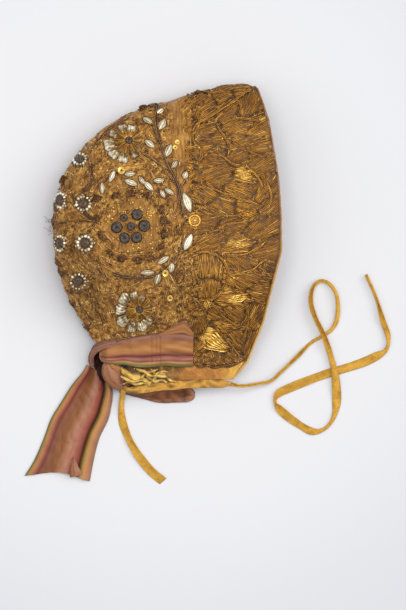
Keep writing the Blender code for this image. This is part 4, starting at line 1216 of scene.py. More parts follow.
def crown_finish():
    """Worn ochre silk: orange, tan and brown patches, brighter where it is plain, with painted shade
    where its padded relief is low.
    """
    made = Finish("crown_silk", Sheen_Weight=0.2, Sheen_Roughness=0.4, Specular_IOR_Level=0.3)
    patches = made.noise(90.0, 3.0) * 0.45 + made.noise(420.0, 4.0) * 0.55
    worked = made.ramp(patches, [
        (0.32, 79, 48, 22), (0.42, 133, 85, 34), (0.53, 182, 129, 54),
        (0.66, 220, 171, 88),
    ])
    stretch = made.node("ShaderNodeMapping", None, {"Vector": made.place(), "Scale": (3.0, 0.5, 1.0)})
    grain = made.noise(230.0, 3.0, stretch) * 0.6 + made.noise(110.0, 3.0) * 0.4
    plain = made.ramp(grain, [
        (0.32, 87, 54, 25), (0.44, 143, 95, 43), (0.54, 176, 124, 56),
        (0.68, 206, 155, 77),
    ])
    colour = made.shaded(made.mixed(made.mark("bare"), worked, plain), made.in_folds(0.5, 0.55))
    height = made.weave(12000.0) * 0.4 + made.noise(1200.0, 3.0)
    return made.done(colour, made.noise(300.0) * 0.2 + 0.55, height, 0.00025, 0.6)


def band_ground_finish():
    """The band's ground between its threads: dull brown gilt, whose dark colour partly stands for the
    shade between the threads, with more painted shade in the joins where its padding is low.
    """
    made = Finish("band_ground", Specular_IOR_Level=0.4)
    tone = made.noise(260.0, 4.0) * 0.6 + made.noise(900.0, 3.0) * 0.4
    colour = made.ramp(tone, [
        (0.32, 64, 38, 14), (0.5, 107, 69, 26), (0.7, 146, 100, 39),
    ])
    return made.done(
        made.shaded(colour, made.in_folds(0.6, 0.4)), tone * 0.2 + 0.42, made.noise(1600.0, 3.0),
        0.0003, 0.8, tone * 0.5,
    )


@functools.cache
def band_thread_finish():
    """The band's gilt thread: brown in its shadows and pale gold in its lights."""
    stops = [
        (0.0, 78, 48, 18), (0.30, 134, 88, 32), (0.55, 180, 125, 46),
        (0.80, 221, 167, 67), (1.0, 247, 217, 120),
    ]
    return thread_finish("band_thread", stops, 0.65, 0.38)


@functools.cache
def crown_thread_finish():
    """The crown's darker and more tarnished thread and purl."""
    stops = [
        (0.0, 48, 30, 18), (0.3, 100, 64, 30), (0.55, 166, 118, 56),
        (0.8, 220, 172, 92), (1.0, 252, 222, 150),
    ]
    return thread_finish("crown_thread", stops, 0.5, 0.36)


# ---------------------------------------------------------------------- raised ornaments

Spangle = namedtuple("Spangle", "x y angle length width")
Flower = namedtuple("Flower", "x y wide tall")
Petal = namedtuple("Petal", "angle spread reach bright")
Foil = namedtuple("Foil", "x y angle length width spread ribs")

ORNAMENT_LIFT = 0.0008

SPANGLES = [Spangle(*row) for row in [
    (148.7, 123.6, -45, 13, 6), (162.8, 127.6, 70, 13, 7), (161, 114.6, 60, 9, 6),
    (150.5, 146.3, -42, 12, 6), (169, 153, 65, 14, 7), (175, 166.4, 55, 9, 5),
    (185.5, 177, 70, 8, 6), (131, 176, 5, 11, 5.5), (132, 184.3, -22, 14, 5.5),
    (142.7, 182.3, -52, 10, 4.5), (149.4, 187.9, -45, 13, 5.5), (159.4, 182.3, 2, 11, 5),
    (169.9, 193.2, -32, 11, 4.5), (163.2, 195.4, -60, 9, 4), (113.7, 178.3, 68, 13, 5),
    (104, 190, 95, 12, 5), (187.3, 203.9, 110, 20, 9), (188.4, 243, 65, 18, 8),
    (163.9, 260.8, 33, 14, 5.5), (148.3, 272.5, 2, 14, 5.5), (172, 268, 80, 10, 6),
    (158.3, 278.7, 72, 12, 6),
]]
LARGE_FLOWERS = {
    "flower_top": (Flower(126.5, 146, 20.5, 20), (130.5, 143.5), [
        Petal(62, 42, 1.0, 1.0), Petal(104, 34, 0.98, 0.6), Petal(140, 36, 0.96, 0.75),
        Petal(180, 40, 1.06, 1.0), Petal(222, 40, 1.0, 1.0), Petal(262, 36, 0.98, 0.9),
        Petal(302, 36, 0.85, 0.25), Petal(340, 40, 0.80, 0.15), Petal(20, 36, 0.82, 0.2),
    ]),
    "flower_bottom": (Flower(137, 310, 21, 22), (140.4, 307.7), [
        Petal(60, 40, 0.85, 0.2), Petal(100, 36, 0.95, 0.45), Petal(138, 38, 1.0, 0.75),
        Petal(178, 38, 1.0, 0.9), Petal(218, 36, 1.0, 1.0), Petal(252, 34, 1.02, 1.0),
        Petal(288, 36, 1.0, 0.9), Petal(326, 38, 0.9, 0.35), Petal(15, 40, 0.8, 0.15),
    ]),
}
SMALL_FLOWERS = [Flower(*row) for row in [
    (85.8, 205, 10, 10), (87.3, 244, 10.5, 10.5), (80.6, 280.5, 10.5, 10.5), (63.4, 201.7, 7, 10.5),
    (63, 243.7, 7, 10.5), (82.4, 161.5, 9, 8),
]]
ROSETTE_DISCS = [
    (138, 216, 6), (145, 227, 6.2), (137.5, 238.5, 6), (125.5, 239, 5.8), (118, 228.5, 6),
    (132, 227.6, 4.6), (125, 219, 4.2),
]
TUFTS = [
    (98.5, 200.6), (98.5, 219.6), (101.4, 236.3), (111.4, 254.2), (123.7, 258.6), (138.2, 260.8),
    (151.6, 259.7), (161.7, 247.5), (165, 235), (164, 222), (161.7, 210.6), (149.4, 197),
    (131.5, 195), (117, 197),
]
EDGE_TUFTS = [
    (143, 107.5), (153, 108), (197, 93.5), (62, 180), (58, 206), (56, 222), (59, 262), (74, 303),
    (88, 327), (63, 272),
]
SEQUINS = [
    (194.7, 221.8, 6), (178, 145, 2.5), (175.7, 150, 2.4), (123, 172.7, 3.6), (166, 273, 3.2),
    (170.6, 296.6, 2.9),
]
GOLD_BEADS = [
    (233, 277.6), (236.7, 277.6), (199, 150), (196, 142), (69, 177), (74, 175.5), (106, 166),
    (103, 171), (110, 164), (123.7, 220), (117, 250), (129, 252), (142, 253.5), (153, 249),
    (191, 188), (198, 190), (147, 219), (190, 170), (146, 276), (112, 283), (101, 338), (175, 312),
    (124, 322), (187, 296), (152, 236), (97, 176), (101, 224), (222, 141), (224, 261), (230, 241),
]
FOILS = [Foil(*row) for row in [
    (243, 176, -8, 22, 10, 0.5, 7), (240, 191, 18, 10, 3.5, 0.2, 3),
    (247, 214.5, 12, 15, 5, 0.4, 3), (238, 246, 8, 19, 7, 0.3, 4), (236, 297, 10, 25, 8, 0.3, 4),
    (217.5, 343, 148, 26, 15, 1.5, 7), (225, 323.5, 12, 8, 3, 0.2, 3),
    (252, 149, 30, 7, 2.5, 0.3, 3), (253, 131, 40, 8, 3, 0.3, 3), (251, 160, 20, 7, 2.5, 0.3, 3),
    (206, 151, 12, 14, 3, 0.2, 3), (262, 178, 60, 8, 4, 0.2, 3), (207, 303, 70, 10, 7, 0.4, 4),
]]


def arched_rows(rows, columns):
    """Shares along and across a grid: 0 to 1 along its rows and -1 to 1 across its columns."""
    return np.meshgrid(np.linspace(0, 1, rows), np.linspace(-1, 1, columns), indexing="ij")


def leaf_grid(length, width, height, ribs, rows=17, columns=15):
    """A spangle: a pointed oval whose height is a half round across it, with ribs along it."""
    along, across = arched_rows(rows, columns)
    half = width / 2 * np.sin(np.clip(along, 0.002, 0.998) * math.pi) ** 0.75
    dome = np.sqrt(np.clip(1 - across**2, 0, 1)) * np.sin(along * math.pi) ** 0.5
    rib = 1 + 0.30 * np.cos(across * math.pi * ribs)
    x = (along - 0.5) * length
    y = across * np.maximum(half, 0.00008)
    return np.stack([x, y, height * dome * rib], axis=-1)


def set_on_cloth(local, place, angle_deg, lift):
    """A flat-backed shape turned by an angle and set square to the cloth at its middle."""
    point, normal = on_cloth(np.asarray(place)[None], np.array([lift]))
    turn = np.array([math.radians(angle_deg)])
    points, _ = stamped(local.reshape(-1, 3), [], point, normal, turn, np.ones((1, 1)))
    return points.reshape(local.shape)


def draped(local, place, angle_deg, lift):
    """A flat-backed shape that follows the cloth: each point keeps its height above it."""
    angle = math.radians(angle_deg)
    turn = np.array([[math.cos(angle), math.sin(angle)], [-math.sin(angle), math.cos(angle)]])
    flat = place + local[..., :2] @ turn
    points, _ = on_cloth(flat, lift + local[..., 2])
    return points


def build_spangles(settings):
    """The silver leaf spangles: thin ribbed leaves, one for each leaf node."""
    grids, tones, rims = [], [], []
    random = np.random.default_rng(71)
    _, across = arched_rows(17, 15)
    turn = np.linspace(0, 2 * math.pi, 33)
    for leaf in SPANGLES:
        ribs = 4.0 if leaf.length > 16 else 2.0
        size = np.array([leaf.length, leaf.width]) * DRAWN_UNIT
        local = leaf_grid(*size, 0.0012, ribs)
        place = drawn((leaf.x, leaf.y))
        grids.append(set_on_cloth(local, place, leaf.angle, ORNAMENT_LIFT))
        # Painted light on the leaves: brighter along the ribs as a painted highlight and darker towards
        # the edges as painted shade; the random factor is each leaf's own tone.
        lit = random.uniform(0.70, 1.15) * (0.62 + 0.38 * np.cos(across * math.pi * ribs))
        tones.append((lit - 0.25 * across**4).ravel())
        rim = np.stack([
            np.cos(turn) * size[0] * 0.53,
            np.sin(turn) * np.abs(np.sin(turn)) ** 0.5 * size[1] * 0.60, 0.0002 + 0 * turn,
        ], axis=-1)
        rims.append(set_on_cloth(rim, place, leaf.angle, ORNAMENT_LIFT))
    path = np.stack(rims)
    edge = tubes(path, upwards(path), 0.00026, 4)
    made_piece("leaf_edges", edge, crown_thread_finish(), "dark_purl",
               tone=np.repeat(random.uniform(0, 0.5, path.shape[0] * 33), 4))
    nodes = [f"leaf_{number:02d}" for number in range(1, len(SPANGLES) + 1)]
    made_piece("silver_leaves", many_grids(np.stack(grids)), silver_finish(), "silver", nodes,
               wall=0.00025, tone=np.concatenate(tones))


def petal_grid(petal, flower, rows=16, columns=19):
    """A padded petal: a sector from 0.52 of its reach out, scalloped at its rim, puffed up as a
    half sine both ways and ribbed along its rays."""
    out, over = arched_rows(rows, columns)
    rim = petal.reach * (1 - 0.16 * over**4)
    rim = rim * (1 + 0.03 * np.sin(over * 4 + petal.angle))
    radius = blend(0.50 + 0.04 * np.sin(over * 5 + petal.angle), rim, out)
    angle = np.radians(petal.angle + over * petal.spread / 2 * 0.96)
    puff = np.sin(np.clip(out, 0.02, 0.98) * math.pi) ** 0.6 * np.cos(over * math.pi / 2) ** 0.5
    rib = 1 + 0.28 * np.cos(over * math.pi * 4 + petal.angle)
    rib = rib + 0.10 * np.sin(out * 9 + over * 3 + petal.angle)
    x = radius * np.cos(angle) * flower.wide * DRAWN_UNIT
    y = radius * np.sin(angle) * flower.tall * DRAWN_UNIT
    return np.stack([x, y, 0.0024 * puff * rib * (0.5 + 0.5 * petal.bright)], axis=-1)


def dome_grid(radius, height, pitch, rings=12, sides=28):
    """A low dome wound with wire: its height is a half round, with a groove at each turn."""
    share = np.linspace(1, 0.02, rings)[:, None]
    angle = round_steps(sides)
    wound = 0.12 * np.cos(share * radius / pitch * 2 * math.pi + angle)
    dimple = 0.45 * np.exp(-((share / 0.22) ** 2))
    z = height * (np.sqrt(np.clip(1 - share**2.4, 0, 1)) + wound * share - dimple)
    return np.stack([radius * share * np.cos(angle), radius * share * np.sin(angle), z], axis=-1)


def ring_of_beads(centre, radii, count, size, lift, random):
    """Beads set round an oval on the cloth."""
    angle = round_steps(count) + random.uniform(-0.06, 0.06, count)
    place = drawn(centre) + oval(angle, *radii) * DRAWN_UNIT
    points, normals = on_cloth(place, lift + size * 0.5)
    sizes = size * random.uniform(0.8, 1.15, (count, 1))
    return stamped(*bead_shape(), points, normals, angle, sizes)


def rays_shape(centre, radii, count, radius, random, lift=0.001):
    """Straight gold threads that radiate between two ovals round a centre."""
    angle = round_steps(count) + random.uniform(-0.05, 0.05, count)
    step = np.linspace(0, 1, 6)
    reach = blend(radii[0], radii[1] * random.uniform(0.85, 1.05, count)[:, None], step)
    place = drawn(centre) + DRAWN_UNIT * oval(angle[:, None], reach, reach)
    points, normals = on_cloth(place, lift + np.sin(step * math.pi) * 0.0005)
    return tubes(points, normals, radius, 4)


def build_large_flowers(settings):
    """The two large flowers: padded silver petals, gold rays and a dark wound centre."""
    random = np.random.default_rng(72)
    for name, (flower, eye, petals) in LARGE_FLOWERS.items():
        place = drawn((flower.x, flower.y))
        uneven = [
            petal._replace(
                angle=petal.angle + random.uniform(-7, 7),
                spread=petal.spread * random.uniform(0.75, 1.1),
                reach=petal.reach * random.uniform(0.90, 1.04),
            ) for petal in petals
        ]
        grids = np.stack([draped(petal_grid(petal, flower), place, 0, 0.0007) for petal in uneven])
        out, over = arched_rows(16, 19)
        # Painted light on the petals: shade darkens them towards the flower's middle and the petal's
        # sides, and streak is a painted highlight along the ribs; the mottle is their uneven tone.
        shade = 0.30 + 0.70 * eased((out - 0.25) / 0.45) * (1 - 0.5 * over**2)
        streak = 0.22 * np.cos(over * math.pi * 4)
        bright = np.array([petal.bright for petal in petals])[:, None, None]
        tone = bright * (0.74 * shade + streak)[None] - 0.02 + 0.16 * mottle(grids, 0.003, 76)
        turn = np.concatenate([np.linspace(-1, 1, 13), [1, 1], np.linspace(1, -1, 13), [-1, -1]])
        reach = np.concatenate([np.ones(13), [0.85, 0.65], np.full(13, 0.5), [0.65, 0.85]])
        lines = []
        for petal in uneven:
            angle = np.radians(petal.angle + turn * petal.spread / 2)
            out_to = reach * np.where(reach > 0.99, petal.reach * (1.02 - 0.16 * turn**4), 1)
            rim = np.stack([out_to * np.cos(angle) * flower.wide,
                            out_to * np.sin(angle) * flower.tall], axis=-1)
            lines.append(rim * DRAWN_UNIT + place)
        path, up = on_cloth(np.stack(lines), 0.0009)
        edge = tubes(path, up, 0.00024 + 0.00010 * mottle(path, 0.003, 79), 4)
        made_piece(f"{name}_outline", edge, crown_thread_finish(), "dark_purl",
                   tone=np.repeat(random.uniform(0, 0.6, len(lines) * 30), 4))
        made_piece(f"{name}_petals", many_grids(grids), silver_finish(), "silver", [name],
                   wall=0.0003, tone=tone)
        rays = joined(
            rays_shape(eye, (3.2, 13.5), 34, 0.00030, random, 0.0016),
            rays_shape(eye, (3.2, 10.5), 30, 0.00026, random, 0.0013),
        )
        lines = len(rays[0]) // 24
        tones = np.repeat(random.uniform(0.05, 0.85, lines), 24)
        made_piece(f"{name}_rays", rays, band_thread_finish(), "gold", tone=tones)
        dome = draped(dome_grid(3.4 * DRAWN_UNIT, 0.0022, 0.0005), drawn(eye), 0, 0.0012)
        made_piece(f"{name}_eye", closed_grids(dome[None]), dark_finish(), "dark_purl", tone=0.5)
        ring = ring_of_beads(eye, (4.6, 4.4), 12, 0.00055, 0.0012, random)
        made_piece(f"{name}_ring", ring, silver_finish(), "silver", tone=0.6)


def build_small_flowers(settings):
    """The small flowers: a dark wound centre in a ring of bright beads."""
    random = np.random.default_rng(73)
    domes, rings, rays, tones = [], [], [], []
    # Each ring's share of the flower, its number of beads, their size and lift, and their tones
    rounds = ((0.66, 13, 0.00122, 0.0004, (0.25, 1.05)), (0.88, 11, 0.00080, 0.0003, (-0.1, 0.6)))
    for flower in SMALL_FLOWERS:
        centre = (flower.x, flower.y)
        shape = dome_grid(1.0, 0.0016, 0.12)
        shape = shape * [flower.wide * 0.44 * DRAWN_UNIT, flower.tall * 0.44 * DRAWN_UNIT, 1]
        domes.append(draped(shape, drawn(centre), 0, 0.0008))
        for share, count, size, lift, bright in rounds:
            radii = (flower.wide * share, flower.tall * share)
            rings.append(ring_of_beads(centre, radii, count, size, lift, random))
            tones.append(np.repeat(random.uniform(*bright, count), 34))
        rays.append(rays_shape(centre, (flower.wide * 0.35, flower.wide * 1.0), 34, 0.00028, random))
    nodes = [f"small_flower_{number}" for number in range(1, len(SMALL_FLOWERS) + 1)]
    made_piece("small_flower_eyes", closed_grids(np.stack(domes)), dark_finish(), "dark_purl",
               nodes, tone=0.55)
    made_piece("small_flower_beads", joined(*rings), silver_finish(), "silver",
               tone=np.concatenate(tones))
    shape = joined(*rays)
    made_piece("small_flower_rays", shape, crown_thread_finish(), "gold",
               tone=np.repeat(random.uniform(-0.1, 0.6, len(shape[0]) // 24), 24))


def build_rosette(settings):
    """The rosette: dark domes wound with wire, each in a thin gilt ring."""
    grids, rims = [], []
    rim = oval(np.linspace(0, 2 * math.pi, 33))
    for x, y, reach in ROSETTE_DISCS:
        local = dome_grid(reach * DRAWN_UNIT, 0.0022, 0.00052)
        grids.append(draped(local, drawn((x, y)), 0, ORNAMENT_LIFT))
        rims.append(on_cloth(drawn((x, y)) + reach * 1.04 * DRAWN_UNIT * rim, 0.0009))
    made_piece("rosette_domes", closed_grids(np.stack(grids)), dark_finish(), "dark_purl",
               ["rosette"], tone=0.3)
    made_piece("rosette_rims", tubes(*np.stack(rims, axis=1), 0.0002, 5), band_thread_finish(),
               "gold", tone=0.6)


def build_sequins(settings):
    """The dished gilt sequins, each with a small bead over its hole."""
    grids, beads = [], []
    angle = round_steps(24)
    spread = np.array([0.0, 0.10, 0.35, 0.60, 0.80, 0.93, 1.0])[:, None]
    dish = np.array([0.0003, 0.0006, 0.00045, 0.0006, 0.0010, 0.0010, 0.0004])[:, None]
    template, faces = bead_shape()
    for x, y, reach in SEQUINS:
        flat = blend(0.25 if reach > 4 else 0.34, 1, spread) * reach * DRAWN_UNIT
        local = np.stack(
            [flat * np.cos(angle), flat * np.sin(angle), dish * min(1, reach / 4) + 0 * angle], -1
        )
        grids.append(draped(local, drawn((x, y)), 0, 0.0011))
        if reach > 4:
            point, normal = on_cloth(drawn([(x, y)]), 0.0015)
            size = np.full((1, 1), reach * DRAWN_UNIT * 0.32)
            beads.append(stamped(template, faces, point, normal, np.zeros(1), size))
    tone = np.full((len(SEQUINS), 7, 24), 0.92)
    tone[0] = np.array([0.35, 0.55, 0.30, 0.35, 0.75, 0.85, 0.5])[:, None]
    nodes = [f"sequin_{number}" for number in range(1, len(SEQUINS) + 1)]
    made_piece("sequins", many_grids(np.stack(grids), round_columns=True), gold_finish(), "gold",
               nodes, wall=0.0002, tone=tone)
    random = np.random.default_rng(77)
    angle = random.uniform(0, 2 * math.pi, 60)
    reach = random.uniform(*BARE_RING, 60)
    ring = np.stack([reach * np.cos(angle), reach * np.sin(angle) * 0.94], axis=-1) * DRAWN_UNIT
    places = np.vstack([drawn(GOLD_BEADS), drawn(ROSETTE_CENTRE) + ring])
    points, normals = on_cloth(places, 0.0010)
    size = np.random.default_rng(74).uniform(0.0004, 0.0009, (len(points), 1))
    loose = stamped(template, faces, points, normals, np.zeros(len(points)), size)
    made_piece("gold_beads", joined(*beads, loose), gold_finish(), "gold", tone=0.9)


def build_tufts(settings):
    """The dark tufts of wound wire round the rosette and on the ridge: short arcs that spring
    out from each tuft's middle."""
    random = np.random.default_rng(75)
    centre = drawn(ROSETTE_CENTRE)
    places = drawn(TUFTS + EDGE_TUFTS)
    count = 13
    step = np.linspace(0, 1, 7)
    away = unit(places - centre)
    side = np.stack([-away[:, 1], away[:, 0]], axis=-1)
    fan = np.linspace(-1.3, 1.3, count) + random.uniform(-0.15, 0.15, (len(places), count))
    aim = np.cos(fan)[..., None] * away[:, None] + np.sin(fan)[..., None] * side[:, None]
    reach = random.uniform(0.0028, 0.0046, (len(places), count, 1, 1))
    bow = np.stack([-aim[..., 1], aim[..., 0]], axis=-1)[:, :, None] * np.sin(
        step * math.pi)[:, None] * random.uniform(-0.0007, 0.0007, (len(places), count, 1, 1))
    start = places[:, None, None] - away[:, None, None] * 0.0022
    line = start + aim[:, :, None] * step[:, None] * reach + bow
    lift = 0.0009 + 0.0013 * np.sin(step * math.pi)
    points, normals = on_cloth(line.reshape(-1, 7, 2), lift)
    shape = tubes(points, normals, 0.00030, 5, np.broadcast_to(step * 14, points.shape[:2]))
    tone = np.repeat(random.uniform(0.0, 0.42, len(points)), 35)
    spots, out = on_cloth(places + away * 0.0004, 0.0003)
    turns = np.arctan2(away[:, 1], away[:, 0]) + random.uniform(-0.4, 0.4, len(places))
    sizes = random.uniform(0.75, 1.15, (len(places), 1)) * np.array([0.0026, 0.0033, 0.0006])
    beds = stamped(*bead_shape(10, 3), spots, out, turns, sizes)
    made_piece("purl_tufts", joined(shape, beds), crown_thread_finish(), "dark_purl",
               tone=np.concatenate([tone, np.full(len(beds[0]), 0.02)]))


def build_loose_threads(settings):
    """The few hair-thin broken threads that stand out from the back edge: wandering lines."""
    random = np.random.default_rng(78)
    step = np.linspace(0, 1, 24)[:, None]
    lines = []
    for _ in range(7):
        start = np.array([57.5, random.uniform(214, 232)])
        end = start + [-random.uniform(8, 15), random.uniform(-10, 8)]
        bow = 3.5 * np.sin(step * random.uniform(4, 8)) * random.normal(size=2) * step
        lines.append(np.column_stack([drawn(blend(start, end, step) + bow), 0.022 - 0.018 * step]))
    path = np.stack(lines)
    made_piece("loose_threads", tubes(path, upwards(path), 0.00011, 4), crown_thread_finish(),
               "dark_purl", tone=0.08)


def foil_grid(foil, rows=20):
    """A strip of beaten foil: it widens along its run, is drawn in at its ends and stands in
    half round ribs along it, each a little longer or shorter than the next."""
    columns = foil.ribs * 6 + 1
    along, across = arched_rows(rows, columns)
    number = np.round((across + 1) / 2 * foil.ribs)
    reach = 1 + 0.16 * np.sin(number * 2.4 + foil.x)
    x = (along - 0.5) * foil.length * DRAWN_UNIT * reach
    half = foil.width / 2 * DRAWN_UNIT * (1 + foil.spread * (along - 0.5))
    drawn_in = np.sin(np.clip(along, 0.02, 0.98) * math.pi) ** 0.6
    rib = np.abs(np.cos((across + 1) * math.pi / 2 * foil.ribs + math.pi / 2))
    lump = np.sin(along * 17 + number * 1.9) * np.sin(along * 7.3 + number * 3.1)
    height = (0.0020 * rib + 0.0006 * lump) * drawn_in - 0.0006
    narrow = drawn_in if foil.spread < 1 else np.clip(1 - (2 * along - 1) ** 8, 0.5, 1)
    return np.stack([x, across * half * narrow, height], axis=-1)


def build_foils(settings):
    """The gold foil patches of the band."""
    shapes, tones = [], []
    for foil in FOILS:
        flat = foil_grid(foil)
        grid = draped(flat, drawn((foil.x, foil.y)), foil.angle, 0.0010)
        shapes.append(one_grid(grid))
        # Painted light on the foil: the tone follows the height, a painted highlight on the ribs and
        # painted shade in the valleys; the narrow foils are duller.
        tones.append(eased((flat[..., 2] + 0.0003) / 0.0014).ravel() * (1.0 if foil.width > 6 else 0.8))
    made_piece("gold_foil", joined(*shapes), gold_finish(), "gold", wall=0.00012,
               tone=np.concatenate(tones))


@functools.cache
def silver_finish():
    """Silver wire and spangles: grey-cream metal, dulled and browned where it is worn."""
    made = Finish("silver", Specular_IOR_Level=0.5)
    tone = made.mark("tone")
    spot = made.noise(520.0, 3.0).between(0.26, 0.52)
    dull = made.ramp(tone, [
        (0.0, 104, 76, 42), (0.35, 176, 156, 116), (0.65, 226, 218, 192),
        (1.0, 252, 250, 238),
    ])
    worn = made.ramp(tone, [(0.0, 84, 58, 32), (1.0, 206, 190, 150)])
    return made.done(
        made.mixed(spot, worn, dull), made.noise(800.0, 2.0) * 0.3 + 0.15,
        made.noise(1500.0, 3.0), 0.0002, 0.6, tone * 0.2 + 0.15,
    )


@functools.cache
def dark_finish():
    """Tarnished wound wire: near-black brown with grey glints."""
    made = Finish("dark_purl", Specular_IOR_Level=0.6)
    tone = (made.mark("tone") * 0.6 + made.noise(700.0, 3.0) * 1.5 - 0.62).clipped()
    colour = made.ramp(tone, [
        (0.0, 26, 18, 12), (0.35, 58, 44, 32), (0.65, 98, 78, 54),
        (1.0, 168, 146, 108),
    ])
    return made.done(
        colour, made.noise(900.0) * 0.25 + 0.38, made.noise(2200.0, 3.0), 0.0002, 0.8,
        made.noise(600.0) * 0.3,
    )


@functools.cache
def gold_finish():
    """Gilt foil and sequins: bright amber gold with browner wear."""
    made = Finish("gold", Specular_IOR_Level=0.5)
    spot = made.noise(420.0, 2.0)
    tone = made.mark("tone") * 0.8 + spot * 0.4 - 0.1
    colour = made.ramp(tone.clipped(), [
        (0.0, 70, 42, 14), (0.45, 160, 108, 34), (0.75, 230, 176, 72),
        (1.0, 255, 230, 136),
    ])
    return made.done(
        colour, made.noise(500.0, 2.0) * 0.2 + 0.2, made.noise(1500.0, 2.0), 0.0001, 0.4,
        spot * 0.3 + 0.45,
    )


# ------------------------------------------------------------- the striped ribbon and its knot

RIBBON_WALL = 0.0007
RIBBON_LIFT = 0.0008

# Across the run, from its upper edge to its foot, and across the tail, from left to right
RUN_STRIPES = [
    (0, 106, 70, 56), (0.08, 147, 99, 78), (0.17, 143, 95, 71), (0.26, 163, 108, 61),
    (0.44, 174, 118, 65), (0.55, 159, 103, 60), (0.615, 137, 82, 60), (0.655, 102, 51, 46),
    (0.7, 143, 80, 69), (0.775, 169, 106, 84), (0.825, 122, 66, 56), (0.875, 174, 131, 82),
    (0.93, 123, 106, 46), (0.97, 137, 118, 56), (1, 69, 59, 26),
]
TAIL_STRIPES = [
    (0, 101, 91, 35), (0.028, 146, 120, 54), (0.055, 184, 131, 77), (0.095, 180, 118, 77),
    (0.125, 161, 80, 62), (0.165, 111, 56, 46), (0.215, 142, 82, 55), (0.36, 138, 88, 50),
    (0.385, 145, 80, 33), (0.42, 142, 91, 57), (0.54, 167, 115, 89), (0.63, 159, 96, 75),
    (0.7, 146, 74, 56), (0.75, 113, 48, 35), (0.785, 60, 48, 21), (0.815, 136, 109, 44),
    (0.87, 178, 129, 73), (0.94, 174, 117, 82), (1, 147, 112, 88),
]
RUN = [
    (193.2, 334.5, 366), (180, 333.2, 367), (165, 333, 365.5), (150, 334, 367), (138, 335.5, 367),
    (125, 338.5, 364.5), (115, 342, 364.5), (107, 345.5, 363.5), (102.5, 348, 361.5),
    (100.5, 351, 359), (99.6, 353.5, 356.5),
]
RUN_FOLDS = [
    (0, 0.1), (0.06, 0.7), (0.25, 1), (0.55, 0.9), (0.7, 0.45), (0.8, 0.8), (0.92, 0.62), (1, 0.05),
]
TAIL = [
    (86.5, 365, 106, 376.5), (82, 373, 109.5, 384), (72, 385, 112, 392), (61, 402, 111, 404),
    (50.5, 419, 107.5, 420), (43, 439, 99, 438), (34, 460, 93.8, 457), (24, 476.5, 89, 482),
]
TAIL_NEAR = [
    (0, 0.35), (0.12, 0.9), (0.28, 0.35), (0.45, 0.75), (0.62, 0.95), (0.74, 0.45), (0.785, 0.05),
    (0.84, 0.7), (0.92, 1), (1, 0.3),
]
TAIL_FAR = [
    (0, 0.05), (0.12, 0.22), (0.22, 0.06), (0.4, 0.32), (0.6, 0.62), (0.74, 0.42), (0.785, 0),
    (0.83, 0.62), (0.9, 0.7), (1, 0.05),
]
TAIL_HEIGHTS = [(0, 8.5), (0.12, 7.5), (0.3, 5.6), (0.6, 4.6), (1.0, 3.6)]
LOOP = [
    (119, 388, 392.5), (130, 385.5, 396), (144, 385, 399.5), (160, 385.5, 403), (174, 386.5, 402.8),
    (186, 387.5, 402.2), (192, 389.5, 400.5), (194.6, 393.5, 397),
]
# Turns of ribbon round the knot: middle x and y, height in millimetres, half width, lean in
# degrees, with the share of the run's or the tail's stripes that shows
Strap = namedtuple("Strap", "name stripes first last arch rows")
STRAPS = [
    Strap("knot_over", "run", 0.0, 0.16, 1.4, [
        (121, 342.5, 23.0, 2.6, 0), (112, 343.0, 23.4, 3.4, 0), (103, 345.0, 22.4, 4.0, 0),
        (96, 349.0, 19.5, 3.9, 20), (92.0, 354.5, 15.5, 3.3, 30), (91.0, 360.5, 11.0, 2.8, 30),
        (92.0, 366.0, 8.0, 2.2, 20),
    ]),
    Strap("knot_lobe", "tail", 0.40, 0.62, 2.2, [
        (108, 362.0, 19.0, 4.0, 0), (109, 367.0, 20.5, 7.0, 0), (111.5, 373.5, 19.5, 9.0, 0),
        (116.5, 380.0, 15.0, 9.0, 0), (122.0, 386.0, 9.0, 6.4, 0), (125.5, 390.5, 5.0, 3.4, 0),
    ]),
    Strap("knot_crossing", "run", 0.25, 0.62, 1.2, [
        (106, 362.5, 20.5, 1.6, 0), (112, 364.5, 22.4, 2.6, 0), (118, 368.0, 21.4, 3.0, 0),
        (123, 372.5, 17.0, 2.4, 0), (126, 377.0, 13.5, 1.4, 0),
    ]),
    Strap("knot_core_fold", "tail", 0.125, 0.20, 1.0, [
        (110, 378.0, 17.5, 1.2, 0), (114, 379.5, 17.6, 2.6, 0), (119, 382.0, 14.5, 2.8, 0),
        (123, 385.0, 11.5, 1.4, 0),
    ]),
    Strap("knot_tuck", "tail", 0.64, 0.76, 1.2, [
        (100.2, 368.0, 10.5, 1.4, 0), (100.0, 370.5, 12.4, 3.0, 0), (100.6, 375.0, 11.8, 3.0, 0),
        (100.2, 381.0, 9.8, 1.7, 0), (99.6, 391.0, 7.8, 0.8, 0),
    ]),
]
# A dark sheet in the knot's hole, which is painted shadow: middle x and y, height in millimetres, half
# width and lean
KNOT_HOLLOW = [
    (113, 345, 21, 2, 0), (107, 348, 19.5, 4.5, 0), (101.5, 353, 13, 6.5, 0),
    (99.5, 359, 9.5, 6.5, 0), (99.5, 365, 8.8, 6, 0), (101, 370, 8.5, 4, 0),
]
TAIL_FLAP = [
    (73.5, 458, 4.6, 0.7, 0), (73.8, 463, 6.2, 2.2, 0), (74.5, 470, 6.2, 4.6, 0),
    (76, 476.2, 4.6, 6.6, 0),
]
LOOP_RIM = [
    (184.5, 389, 1.6, 1, 0), (189.5, 390.5, 3.4, 2, 0), (191.8, 394.5, 3.8, 2.2, 0),
    (190, 399, 3.2, 2, 0), (185, 401.8, 1.8, 1.2, 0),
]
UPPER_FOLD = [
    (159, 334, 1.5), (165, 330.6, 4), (172, 326.6, 7.5), (179, 322.8, 10.5), (182.6, 320.8, 12.5),
    (184, 320.6, 12.8), (187, 323.2, 11), (190.5, 328.5, 7), (193.4, 333, 2),
]
